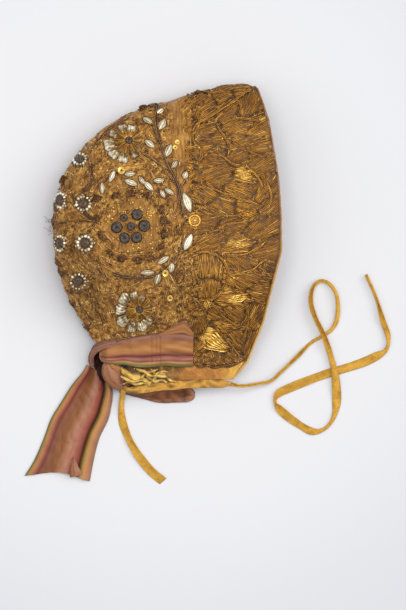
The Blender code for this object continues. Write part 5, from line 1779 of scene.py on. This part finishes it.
# Loops of silk over the gathers: middle x and y, height over the gathers in millimetres, half
# width and lean
SILK_LOOPS = [
    [(121, 368, 0.6, 1.4, 0), (125, 372, 2, 3, 15), (131, 375.5, 2.6, 3.8, 20),
    (138, 376, 2.2, 3, 10), (144, 379.5, 1.8, 2, 0), (150, 379, 0.8, 1, 0)],
    [(134, 368.5, 1, 0.8, 0), (140, 369.5, 2.6, 1.4, 20), (146, 373, 3, 1.7, 10),
    (149, 378, 2.6, 1.5, 0), (155, 381, 2.2, 1.4, 0), (162, 380, 1.6, 1.3, 0),
    (167, 382.5, 0.6, 0.8, 0)], [(128, 383, 0.6, 0.9, 0), (134, 379.5, 2.4, 1.4, -10),
    (141, 377.5, 3, 1.5, 0), (146, 373, 3.4, 1.3, 10), (152, 371.5, 3, 1.2, 0),
    (158, 369, 0.8, 0.8, 0)], [(144, 384, 0.6, 0.9, 0), (150, 382.5, 1.8, 1.3, 0),
    (155, 378, 2.6, 1.4, 0), (157, 373.5, 3.2, 1.3, 0), (163, 371, 1.8, 1.1, 0),
    (168, 372, 0.6, 0.8, 0)], [(151, 368.5, 0.8, 0.8, 0), (154, 373, 2.6, 1.4, 0),
    (160, 376, 3.2, 1.5, 0), (166, 376.5, 2.4, 1.3, 0), (171, 380.5, 1.4, 1.1, 0),
    (176, 381.5, 0.6, 0.8, 0)], [(123, 384, 0.4, 0.8, 0), (129, 382, 1.8, 1.3, 0),
    (136, 384, 2.2, 1.4, 0), (144, 382.5, 1.8, 1.3, 0), (150, 385, 0.6, 0.8, 0)],
    [(121, 376, 1, 1, 0), (127, 379, 2.6, 1.5, 0), (134, 381.5, 2.8, 1.5, 0),
    (141, 380, 3.2, 1.3, 0), (147, 381.5, 2, 1.2, 0), (152, 380.5, 0.6, 0.8, 0)],
    [(137, 372, 1, 0.9, 0), (143, 371, 3.2, 1.6, 0), (149, 374.5, 3.6, 1.5, 0),
    (155, 375.5, 3.2, 1.3, 0), (161, 373, 2.2, 1.2, 0), (167, 375, 0.8, 0.8, 0)],
]


def knot_centre():
    """The middle of the knot, which rests on the floor."""
    return np.append(plan(0.237, 0.948), KNOT_HEIGHT / 2)


def over_knot(place):
    """The height of the knot's upper face, an ellipsoid's."""
    centre = knot_centre()
    offset = (place - centre[:2]) / [KNOT_WIDTH / 2, KNOT_LENGTH / 2]
    return centre[2] + np.sqrt(np.clip(1 - (offset**2).sum(-1), 0, 1)) * KNOT_HEIGHT / 2


def bump_at(value, middle, reach):
    """1 at the middle, falling away to each side: the exponential of minus the square."""
    return np.exp(-(((value - middle) / reach) ** 2))


def crossing_rows(rows, steps, spread):
    """A grid of places between two edges: rows of x with the y of the upper and lower edge."""
    curve = evenly(through(rows), steps)
    share = np.linspace(0, 1, spread)
    y = blend(curve[:, 1:2], curve[:, 2:3], share[None])
    x = np.broadcast_to(curve[:, :1], y.shape)
    return drawn(np.stack([x, y], axis=-1)), share


def neck_height(place):
    """The height of the gathers: straight between the seam's and the casing's at each X."""
    seam, casing = neck_runs(np.linspace(0, 1, 60), np.ones(60))
    (upper_y, upper_z), (lower_y, lower_z) = [
        [np.interp(place[:, 0], line[:, 0], line[:, axis]) for axis in (1, 2)]
        for line in (seam, casing)
    ]
    return blend(upper_z, lower_z, np.clip((upper_y - place[:, 1]) / (upper_y - lower_y), 0, 1))


def run_grid():
    """The run over the foot of the crown: it follows the silk or the knot, whichever is higher,
    with its own lengthwise folds, two creases across it and an end that curls down."""
    place, share = crossing_rows(RUN, 110, 40)
    upper, _ = side_heights(place, CROWN_WALL)
    base = np.maximum(upper + CROWN_WALL / 2, over_knot(place) + 0.0002)
    column = drawing_column(place)
    folds = np.interp(share, *np.transpose(RUN_FOLDS))[None] * 0.0026
    crease = bump_at(column, 151.5, 1.2) + bump_at(column, 160, 1.0)
    crease = crease + 0.6 * bump_at(column, 156, 1.2) + 0.7 * bump_at(column - 8 * share, 126, 3)
    crumple = 0.0004 * mottle(place * [0.4, 1.0], 0.006, 81)
    sink = 0.0050 * eased((108 - column) / 7)
    height = base + RIBBON_LIFT + folds - 0.0009 * crease * folds / 0.0026 + crumple - sink
    # The third value is the fold mark, painted light: lighter on the raised folds and darker in the
    # creases.
    return np.dstack([place, height]), share, folds / 0.0026 - 0.35 * crease + crumple / 0.0012


def tail_grid():
    """The long end on the floor: folds whose heights blend from those at the knot to those at
    the cut, over a plan between its two edges, with the cut bowed in at its middle."""
    rows = np.array(TAIL, float)
    left, right = evenly(through(rows[:, :2]), 400), evenly(through(rows[:, 2:]), 400)
    along, share = np.linspace(0, 1, 110), np.linspace(0, 1, 76)
    reach = along[:, None] * (1 - 0.055 * np.sin(share * math.pi)[None] ** 1.3 * along[:, None] ** 6)
    spot = reach * 399
    edges = [np.stack([np.interp(spot, np.arange(400), edge[:, axis]) for axis in (0, 1)], -1)
             for edge in (left, right)]
    place = drawn(blend(edges[0], edges[1], share[None, :, None]))
    near = np.interp(share, *np.transpose(TAIL_NEAR))
    far = np.interp(share, *np.transpose(TAIL_FAR))
    folds = blend(near[None], far[None], eased(reach * 1.6))
    tall = np.interp(reach, *np.transpose(TAIL_HEIGHTS)) / 1000
    crumple = 0.00035 * mottle(place, 0.010, 82) * np.sin(share * math.pi)[None]
    height = RIBBON_WALL / 2 + 0.0003 + folds * tall + np.abs(crumple)
    return np.dstack([place, height]), share, folds, reach


def strap_grid(rows, arch, seed, steps=60, spread=21, base=None):
    """A turn of ribbon: straight across, leaning about its path, arched and a little crumpled.
    Its heights are over the floor, or over the base where one is given."""
    curve = evenly(through(rows), steps)
    place = drawn(curve[:, :2])
    under = base(place) if base else 0.0
    path = np.column_stack([place, curve[:, 2] / 1000 + under])
    ahead = unit(np.gradient(path, axis=0))
    level = unit(np.stack([-ahead[:, 1], ahead[:, 0], 0 * ahead[:, 0]], axis=-1))
    up = np.cross(ahead, level)
    up = up * np.sign(up[:, 2:] + 1e-9)
    lean = np.radians(curve[:, 4])[:, None]
    side = np.cos(lean) * level + np.sin(lean) * up
    rise = np.cross(side, ahead)
    rise = rise * np.sign(rise[:, 2:] + 1e-9)
    share = np.linspace(-1, 1, spread)
    half = curve[:, 3:4] * DRAWN_UNIT
    bump = arch / 1000 * (1 - share[None] ** 2) * np.minimum(1, half / 0.003)
    pleat = 0.0004 * np.cos(share * math.pi * 2.5)[None] * np.minimum(1, half / 0.003)
    points = path[:, None] + (half * share[None])[..., None] * side[:, None]
    points = points + (bump + pleat)[..., None] * rise[:, None]
    points = points + 0.0002 * mottle(points, 0.005, seed)[..., None] * rise[:, None]
    points[..., 2] = np.maximum(points[..., 2], 0.0006)
    # The third value is the fold mark, painted light: lighter on the arch, darker on the pleats and
    # edges.
    return points, (share + 1) / 2, 0.6 + 0.4 * (bump + pleat) / max(arch / 1000, 1e-6)


def cloth_piece(name, points, across, finish, slot, nodes, wall, fold, flat, held, rests_on, **more):
    """A sheet of cloth with its share across and its length along stored for its pattern."""
    steps = np.linalg.norm(np.diff(points, axis=0), axis=-1).mean(axis=1)
    along = np.concatenate([[0], np.cumsum(steps)])
    cloth = np.dstack(np.broadcast_arrays(across, along[:, None], 0 * across))
    # The fold mark is painted light and shade, which the finish turns into a grey.
    piece = made_piece(
        name, one_grid(points), finish, slot, nodes, wall=wall, offset=0.0, cloth=cloth,
        fold=np.broadcast_to(fold, points.shape[:2]).clip(0, 1),
    )
    return piece


def build_ribbon(settings):
    """The striped ribbon: the run over the crown's foot, the knot, the tail and the loop."""
    run_finish = ribbon_finish("ribbon_run", RUN_STRIPES, 0.35)
    tail_finish = ribbon_finish("ribbon_tail", TAIL_STRIPES, 0.35)
    # A copy of the tail's finish with stronger painted shade in its folds, for the loop.
    loop_finish = ribbon_finish("ribbon_folded", TAIL_STRIPES, 0.65)
    points, share, folds = run_grid()
    # The run's fold mark is painted light from its folds and creases.
    cloth_piece(
        "ribbon_run", points, share[None], run_finish, "striped_ribbon", ["ribbon_band"],
        RIBBON_WALL, 0.35 + 0.65 * folds, (0.028, 0.072), "gathered", ["crown_silk"],
    )
    points, share, folds, reach = tail_grid()
    # Painted light on the tail's fold mark: a painted highlight along its middle, lit, and painted
    # shade near the knot, over its fold heights and a patchy tone.
    lit = bump_at(share[None], 0.52, 0.11) * eased((reach - 0.35) / 0.25)
    folds = folds + 0.35 * lit - 0.30 * (1 - eased(reach / 0.4)) + 0.12 * mottle(points, 0.012, 80)
    cloth_piece(
        "ribbon_long_end", points, share[None], tail_finish, "striped_ribbon", ["ribbon_tail"],
        RIBBON_WALL, 0.25 + folds, (0.048, 0.098), "laid", ["floor"],
    )
    place, share = crossing_rows(LOOP, 80, 30)
    over = np.linspace(0, 1, 80)[:, None]
    # The loop's folds set both its heights and its fold mark, so the mark is painted light: darker at
    # its edges, a painted highlight near its rim and painted shadow in the hollow at its right end.
    folds = np.sin(share * math.pi)[None] ** 0.7 * (0.62 + 0.38 * np.cos(share * 9 + over * 7))
    folds = folds + 0.5 * bump_at(over, 0.90, 0.035) - 0.25 * bump_at(over, 0.82, 0.025)
    folds = folds + 0.35 * np.abs(mottle(place * [0.5, 1.0], 0.0075, 83)) - 0.15
    away = np.linalg.norm(place - drawn((183.0, 396.5)), axis=-1)
    folds = folds * (1 - 0.95 * bump_at(away, 0, 0.0024))
    points = np.dstack([place, np.maximum(0.0009 + 0.0024 * folds, 0.0005)])
    cloth_piece(
        "ribbon_lower_loop", points, (0.17 + 0.38 * share)[None] + 0.07 * np.sin(over * 8), loop_finish,
        "striped_ribbon", ["ribbon_loop"], RIBBON_WALL, 0.05 + 0.95 * folds, (0.0125, 0.058),
        "folded", ["floor"],
    )
    for name, rows, first, last in (
        ("ribbon_loop_rim", LOOP_RIM, 0.44, 0.56), ("ribbon_tail_flap", TAIL_FLAP, 0.40, 0.58),
    ):
        points, share, fold = strap_grid(rows, 0.7, 87, 30, 11)
        length = float(travelled(points.mean(axis=1))[-1])
        cloth_piece(
            name, points, blend(first, last, share)[None], tail_finish, "striped_ribbon", [],
            0.0005, 0.15 + 0.85 * fold, (0.010, max(length, 0.01)), "folded", ["floor"],
            area=max(0.31 * 0.01 * length, 0.0045 * length),
        )
    build_knot(run_finish, tail_finish)
    curve = evenly(through(UPPER_FOLD), 50)
    share = np.linspace(0, 1, 16)
    y = curve[:, 1:2] + curve[:, 2:3] * share[None]
    place = drawn(np.stack([np.broadcast_to(curve[:, :1], y.shape), y], axis=-1))
    upper, _ = side_heights(place, CROWN_WALL)
    bump = np.sin(share * math.pi)[None] ** 0.6 * 0.0012 + 0.0003 * np.cos(share * 14)[None]
    points = np.dstack([place, upper + CROWN_WALL / 2 + 0.0014 + bump])
    # Its fold mark follows its bump: painted light, lighter where it stands up.
    cloth_piece(
        "ribbon_upper_fold", points, (0.13 + 0.34 * share)[None], run_finish, "striped_ribbon",
        [], 0.0005, 0.4 + 400 * bump, (0.010, 0.030), "folded", ["crown_silk"], area=0.00019,
    )


def build_knot(run_finish, tail_finish):
    """The knot: a grooved core in shadow and the turns of ribbon that wrap it."""
    leans = np.linspace(0.02, math.pi - 0.02, 30)
    lean, turn = np.meshgrid(leans, round_steps(48), indexing="ij")
    aim = np.stack([np.sin(lean) * np.cos(turn), np.sin(lean) * np.sin(turn), np.cos(lean)], -1)
    size = 1 - 0.10 * np.cos(1.5 * turn + 3 * lean) ** 8 + 0.03 * mottle(aim, 0.8, 84)
    points = knot_centre() + aim * size[..., None] * [
        KNOT_WIDTH / 2 * 0.88, KNOT_LENGTH / 2 * 0.86, KNOT_HEIGHT / 2 * 0.86]
    points[..., 2] = np.maximum(points[..., 2], 0.0002)
    cloth = np.dstack([0.18 + 0.03 * np.cos(turn * 2), lean * 0.01, 0 * lean])
    # The core and the hollow take a copy of the tail's finish with no sheen and the strongest painted
    # shade, as the knot's shadow.
    shaded = ribbon_finish("ribbon_in_shadow", TAIL_STRIPES, 0.90, 0.0)
    made_piece("knot_core", closed_grids(points[None]), shaded, "striped_ribbon", ["ribbon_knot"],
               fold=0.0, cloth=cloth)
    points, _, _ = strap_grid(KNOT_HOLLOW, 0.4, 88)
    made_piece("knot_hollow", one_grid(points), shaded, "striped_ribbon", wall=0.0006, offset=0.0,
               fold=0.0, cloth=0.18)
    for number, strap in enumerate(STRAPS):
        points, share, fold = strap_grid(strap.rows, strap.arch, 85 + number)
        finish = run_finish if strap.stripes == "run" else tail_finish
        length = float(travelled(points.mean(axis=1))[-1])
        width = float(np.linalg.norm(np.diff(points, axis=1), axis=-1).sum(axis=1).mean())
        cloth_piece(
            strap.name, points, blend(strap.first, strap.last, share)[None], finish,
            "striped_ribbon", [], 0.0006, fold, (max(width, 0.01), max(length, 0.01)), "folded",
            ["knot_core"], area=max(width * length, 0.31 * max(width, 0.01) * max(length, 0.01)),
        )


# ----------------------------------------------------------------------- the coif's neck edge


# How light the gathers are at columns of the drawing, from the nape to the front: painted shade between
# the silk loops at the nape end, then the silk's own brown, tan and yellow
GATHERS_COLOUR_AND_SHADE = [
    (118, 0.0), (126, 0.10), (140, 0.20), (158, 0.22), (162, 0.38), (176, 0.42), (186, 0.66),
    (216, 0.70), (226, 0.90), (234, 1.0),
]


def neck_runs(shares, rise, inset=0.0):
    """The seam with the shells and the casing's upper edge, at shares from the nape to the
    front. The rise is 1 on the upper side, -1 on the lower one and between on the turn."""
    neck = plan(*np.transpose(BAND_NECK + CROWN_NECK))
    seam_x = blend(plan(TURN_NECK_SHARE, 0)[0], neck[0, 0] - BINDING_WIDTH - inset, shares)
    seam = np.stack([seam_x, neck_line(seam_x) - SEWN_GAP], axis=-1)
    upper, _ = side_heights(seam, BAND_WALL)
    casing_curve = through(plan(*np.transpose(CASING)))
    casing = point_along(casing_curve, shares * travelled(casing_curve)[-1])
    casing[..., 0] -= inset * shares
    under_y = plan(0, CASING_UNDER_SHARE)[1]
    share_up = (rise + 1) / 2
    casing[..., 1] = blend(under_y, casing[..., 1], share_up)
    seam_z = blend(GATHERS_WALL / 2, upper, share_up)
    casing_z = blend(CASING_THICKNESS / 2, CASING_HEIGHT_SHARE * LYING_HEIGHT, share_up)
    turned = np.sqrt(1 - rise**2) * TURN_RADIUS
    seam[..., 0] -= turned
    casing[..., 0] -= turned
    return np.column_stack([seam, seam_z]), np.column_stack([casing, casing_z])


def neck_path(run_steps, turn_steps):
    """Shares from the nape and rises, from the upper front corner round to the lower one."""
    run = np.linspace(1, 0, run_steps, endpoint=False)
    turn = np.linspace(90, -90, turn_steps + 1)
    shares = np.concatenate([run, np.zeros(turn_steps + 1), run[::-1]])
    rises = np.concatenate([np.ones(run_steps), np.sin(np.radians(turn)), -np.ones(run_steps)])
    return shares, rises


def oval_sweep(path, across, width, thickness, sides):
    """Rings of an oval along a path, whose width lies along across, square to the path."""
    ahead = unit(np.gradient(path, axis=0))
    across = unit(across - (across * ahead).sum(-1, keepdims=True) * ahead)
    up = np.cross(ahead, across)
    angle = round_steps(sides)
    width, thickness = (np.broadcast_to(size, len(path))[:, None, None] for size in (width, thickness))
    wide = np.cos(angle)[None, :, None] * across[:, None] * width / 2
    thick = np.sin(angle)[None, :, None] * up[:, None] * thickness / 2
    return path[:, None] + wide + thick


def build_neck(settings):
    """The gathers, the loops of crumpled silk, the casing and the front edge's binding."""
    bright = silk_finish("casing_silk", [
        (0.25, 180, 122, 43), (0.5, 204, 149, 58), (0.75, 222, 172, 81),
    ], 0.6, 0.2, 0.5, 0.7, 11000.0)
    shares, rises = neck_path(210, 14)
    seam, casing = neck_runs(shares, rises, -BINDING_WIDTH / 2)
    down = np.linspace(0, 1, 22)
    points = blend(seam[:, None], casing[:, None], down[None, :, None])
    ridged = 1 - np.abs(mottle(points * [1, 0.35, 0.35], 0.0075, 91)).clip(0, 1)
    fine = 1 - np.abs(mottle(points, 0.0032, 92)).clip(0, 1)
    wave = 0.7 * ridged + 0.3 * fine
    deep = np.sin(np.clip(down, 0.05, 0.95) * math.pi)[None] ** 0.6
    points[..., 2] += 0.0022 * wave * deep * np.clip(rises, 0, 1)[:, None]
    # The crumple's wave also gives the fold mark, painted shade in its creases, softer towards the
    # front.
    column = drawing_column(points)
    front = eased((column - 168) / 26)
    wave = wave * (1 - front) + (0.55 + 0.45 * wave) * front
    gathers = made_piece(
        "gathered_silk", one_grid(points), gathers_finish(), "yellow_silk", ["neck_gathers"],
        wall=0.0007, offset=0.0, fold=wave.clip(0, 1),
        tone=np.interp(column, *np.transpose(GATHERS_COLOUR_AND_SHADE)),
    )
    grids, folds = [], []
    for number, rows in enumerate(SILK_LOOPS):
        grid, share, _ = strap_grid(rows, 0.9, 95 + number, 48, 13, neck_height)
        crease = 0.25 * mottle(grid, 0.004, 89)
        grids.append(grid)
        # Painted shade: each loop is darker towards its edges, with a patchy crease.
        folds.append((1 - (2 * share[None] - 1) ** 2 + crease - 0.1).clip(0, 1).ravel())
    looped = silk_finish("loop_silk", [
        (0.30, 196, 140, 52), (0.5, 232, 184, 84), (0.7, 248, 212, 120),
    ], 0.5, 0.3, 0.45, 0.85, 11000.0)
    loops = made_piece("silk_loops", many_grids(np.stack(grids)), looped, "yellow_silk",
                       wall=0.0005, offset=0.0, fold=np.concatenate(folds))
    shares, rises = neck_path(150, 16)
    _, hem = neck_runs(shares, rises)
    across = np.broadcast_to([0.0, 1.0, 0.0], hem.shape)
    path = hem - np.array([0, 1, 0]) * (CASING_WIDTH / 2 + SEWN_GAP)
    column = drawing_column(path)
    ends = np.minimum((column - 125) / 14, (column.max() + 1 - column) / 12)
    wide = CASING_WIDTH * (1 + 0.05 * mottle(path, 0.010, 93)) * (0.50 + 0.50 * eased(ends))
    thick = CASING_THICKNESS * (1 + 0.18 * mottle(path, 0.006, 94))
    rings = oval_sweep(path, across, wide, thick, 20)
    ripple = 0.0005 * (0.5 - np.abs(mottle(rings * [0.5, 1, 1], 0.0055, 99)))
    rings = rings + ripple[..., None] * [0, 0, 1]
    rings[..., 2] = np.maximum(rings[..., 2], 0.0002)
    # Painted shade in the casing's ripples, by its fold mark.
    tunnel = made_piece("casing", closed_grids(rings[None]), bright, "yellow_silk", ["neck_casing"],
                        fold=(0.80 + ripple / 0.0010).clip(0, 1))
    build_binding()


def gathers_finish():
    """Crumpled silk, by its tone: painted shade between its loops, brown where it is embroidered, tan
    and then yellow towards the front; its fold mark adds painted shade in its creases."""
    made = Finish("gathers_silk", Sheen_Weight=0.25, Sheen_Roughness=0.4, Specular_IOR_Level=0.3)
    tone = made.mark("tone") + (made.noise(420.0, 4.0) - 0.5) * 0.34
    colour = made.ramp(tone.clipped(), [
        (0.0, 52, 32, 14), (0.2, 104, 68, 28), (0.38, 150, 106, 52),
        (0.60, 182, 118, 54), (0.80, 204, 140, 66), (1.0, 222, 172, 78),
    ])
    return made.done(
        made.shaded(colour, made.in_folds(0.7, 0.40)), made.noise(300.0) * 0.2 + 0.55,
        made.noise(1100.0, 3.0), 0.0003, 0.7,
    )


def binding_finish():
    """The edge's thin silk: dull tan on the upper half and yellow towards the neck."""
    made = Finish("binding_silk", Sheen_Weight=0.2, Sheen_Roughness=0.4, Specular_IOR_Level=0.3)
    low = made.part(made.place(), 1).between(0.02, -0.06)
    patchy = made.noise(330.0, 3.0)
    upper = made.mixed(patchy, tint(128, 84, 40), tint(186, 134, 84))
    lower = made.mixed(patchy, tint(176, 124, 48), tint(224, 176, 88))
    colour = made.mixed(low, upper, lower)
    return made.done(colour, patchy * 0.2 + 0.5, made.noise(1400.0, 3.0), 0.0002, 0.5)


def build_binding():
    """The binding: a thin rolled edge of silk that follows the band's front edge."""
    turns = np.linspace(-1, 1, 161)
    hoop, turn = np.meshgrid([-1.0, -0.99], turns, indexing="ij")
    place = side_plan(hoop, 0.5 - 0.5 * np.cos(turn * math.pi))
    upper, lower = side_heights(place, BAND_WALL)
    rims = np.dstack([place, np.where(turn < 0, upper, lower)])
    rims[..., 0] += JOIN_GAP / 2
    edge, inner = rims
    outward = edge - inner
    ahead = unit(np.gradient(edge, axis=0))
    outward = unit(outward - (outward * ahead).sum(-1, keepdims=True) * ahead)
    path = edge + outward * (BINDING_WIDTH / 2 + SEWN_GAP)
    _, casing = neck_runs(np.array([1.0, 1.0]), np.array([1.0, -1.0]))
    stops = casing + [BINDING_WIDTH / 2 + SEWN_GAP, SEWN_GAP, 0]
    for line in (path, stops):
        line[:, 2] = np.maximum(line[:, 2], BINDING_THICKNESS / 2)
    halves = blend(stops, path[[0, -1]], 0.5)
    path = np.vstack([stops[0], halves[0], path, halves[1], stops[1]])
    across = np.vstack([outward[:1], outward[:1], outward, outward[-1:], outward[-1:]])
    path, across = evenly(path, 320), evenly(np.hstack([path, across]), 320)[:, 3:]
    low = eased((0.05 - path[:, 1]) / 0.12)
    size = (0.42 + 0.28 * low) * (1 + 0.14 * mottle(path, 0.008, 98))
    rings = oval_sweep(path - across * (BINDING_WIDTH * 0.3 * (1 - low))[:, None], across,
                       BINDING_WIDTH * size, BINDING_THICKNESS * size, 12)
    rings[..., 2] = np.maximum(rings[..., 2], 0.0001)
    piece = made_piece("edge_binding", closed_grids(rings[None]), binding_finish(), "yellow_silk",
                       ["front_binding"])


# --------------------------------------------------------------------------- the add-on


class CoifSettings(bpy.types.PropertyGroup):
    """The sizes and lights that a user would change."""

    tie_width: bpy.props.FloatProperty(
        name="Tie width", description="Width of the neck tie when it lies flat",
        default=0.0066, unit="LENGTH",
    )
    thread_pitch: bpy.props.FloatProperty(
        name="Thread pitch", description="Distance between laid metal threads",
        default=0.00100, unit="LENGTH",
    )
    thread_radius: bpy.props.FloatProperty(
        name="Thread radius", description="Radius of the laid metal thread",
        default=0.00036, unit="LENGTH",
    )
    purl_pitch: bpy.props.FloatProperty(
        name="Purl pitch", description="Distance between curls of purl on the crown",
        default=0.0026, unit="LENGTH",
    )
    light_power: bpy.props.FloatProperty(
        name="Key light", description="Power of the key light", default=18.4, unit="POWER",
    )
    sky_light: bpy.props.FloatProperty(
        name="Sky light", description="Strength of the pale surroundings", default=0.465,
    )


class MakerOperator:
    """What the coif's operators share: each calls its own build function."""

    bl_options = {"REGISTER", "UNDO"}

    def execute(self, context):
        type(self).build(context.scene.coif)
        return {"FINISHED"}


class COIF_OT_stage(MakerOperator, bpy.types.Operator):
    """Build the camera, the floor and the lights"""

    bl_idname = "coif.stage"
    bl_label = "Stage"
    build = staticmethod(build_stage)


class COIF_OT_ties(MakerOperator, bpy.types.Operator):
    """Build the free ends of the neck tie"""

    bl_idname = "coif.ties"
    bl_label = "Neck tie"
    build = staticmethod(build_ties)


class COIF_OT_shells(MakerOperator, bpy.types.Operator):
    """Build the crown's silk and the band's ground"""

    bl_idname = "coif.shells"
    bl_label = "Crown and band cloth"
    build = staticmethod(build_shells)


class COIF_OT_band_threads(MakerOperator, bpy.types.Operator):
    """Lay the metal thread over the band"""

    bl_idname = "coif.band_threads"
    bl_label = "Band threads"
    build = staticmethod(build_band_threads)


class COIF_OT_crown_threads(MakerOperator, bpy.types.Operator):
    """Lay the finer thread over the crown"""

    bl_idname = "coif.crown_threads"
    bl_label = "Crown threads"
    build = staticmethod(build_crown_threads)


class COIF_OT_cords(MakerOperator, bpy.types.Operator):
    """Sew the raised cords and stems"""

    bl_idname = "coif.cords"
    bl_label = "Cords and stems"
    build = staticmethod(build_cords)


class COIF_OT_purl(MakerOperator, bpy.types.Operator):
    """Scatter the curls of purl on the crown"""

    bl_idname = "coif.purl"
    bl_label = "Purl"
    build = staticmethod(build_purl)


class COIF_OT_band_purl(MakerOperator, bpy.types.Operator):
    """Fill the band's joins and edges with curls of purl"""

    bl_idname = "coif.band_purl"
    bl_label = "Band purl"
    build = staticmethod(build_band_purl)


class COIF_OT_tufts(MakerOperator, bpy.types.Operator):
    """Build the dark tufts"""

    bl_idname = "coif.tufts"
    bl_label = "Tufts"
    build = staticmethod(build_tufts)


class COIF_OT_loose_threads(MakerOperator, bpy.types.Operator):
    """Build the broken threads at the back edge"""

    bl_idname = "coif.loose_threads"
    bl_label = "Loose threads"
    build = staticmethod(build_loose_threads)


class COIF_OT_foils(MakerOperator, bpy.types.Operator):
    """Build the gold foil patches"""

    bl_idname = "coif.foils"
    bl_label = "Gold foil"
    build = staticmethod(build_foils)


class COIF_OT_rosette(MakerOperator, bpy.types.Operator):
    """Build the rosette"""

    bl_idname = "coif.rosette"
    bl_label = "Rosette"
    build = staticmethod(build_rosette)


class COIF_OT_large_flowers(MakerOperator, bpy.types.Operator):
    """Build the two large flowers"""

    bl_idname = "coif.large_flowers"
    bl_label = "Large flowers"
    build = staticmethod(build_large_flowers)


class COIF_OT_small_flowers(MakerOperator, bpy.types.Operator):
    """Build the small flowers"""

    bl_idname = "coif.small_flowers"
    bl_label = "Small flowers"
    build = staticmethod(build_small_flowers)


class COIF_OT_spangles(MakerOperator, bpy.types.Operator):
    """Build the silver leaf spangles"""

    bl_idname = "coif.spangles"
    bl_label = "Leaf spangles"
    build = staticmethod(build_spangles)


class COIF_OT_sequins(MakerOperator, bpy.types.Operator):
    """Build the gilt sequins and beads"""

    bl_idname = "coif.sequins"
    bl_label = "Sequins and beads"
    build = staticmethod(build_sequins)


class COIF_OT_neck(MakerOperator, bpy.types.Operator):
    """Build the gathers, the casing and the binding"""

    bl_idname = "coif.neck"
    bl_label = "Neck edge"
    build = staticmethod(build_neck)


class COIF_OT_ribbon(MakerOperator, bpy.types.Operator):
    """Build the striped ribbon and its knot"""

    bl_idname = "coif.ribbon"
    bl_label = "Striped ribbon"
    build = staticmethod(build_ribbon)


OPERATORS = [
    COIF_OT_stage, COIF_OT_ties, COIF_OT_shells, COIF_OT_neck, COIF_OT_ribbon,
    COIF_OT_band_threads, COIF_OT_crown_threads, COIF_OT_cords, COIF_OT_purl, COIF_OT_band_purl,
    COIF_OT_tufts, COIF_OT_loose_threads,
    COIF_OT_foils, COIF_OT_rosette, COIF_OT_large_flowers, COIF_OT_small_flowers,
    COIF_OT_spangles, COIF_OT_sequins,
]


class COIF_PT_panel(bpy.types.Panel):
    """The coif's settings and its operators"""

    bl_label = "Embroidered coif"
    bl_idname = "COIF_PT_panel"
    bl_space_type = "VIEW_3D"
    bl_region_type = "UI"
    bl_category = "Coif"

    def draw(self, context):
        settings = context.scene.coif
        for name in CoifSettings.__annotations__:
            self.layout.prop(settings, name)
        for operator in OPERATORS:
            self.layout.operator(operator.bl_idname)


CLASSES = [CoifSettings, *OPERATORS, COIF_PT_panel]


def register():
    for made in CLASSES:
        bpy.utils.register_class(made)
    bpy.types.Scene.coif = bpy.props.PointerProperty(type=CoifSettings)


def unregister():
    del bpy.types.Scene.coif
    for made in reversed(CLASSES):
        bpy.utils.unregister_class(made)


def main():
    register()
    for operator in OPERATORS:
        getattr(bpy.ops.coif, operator.bl_idname.split(".")[1])()


if __name__ == "__main__":
    main()
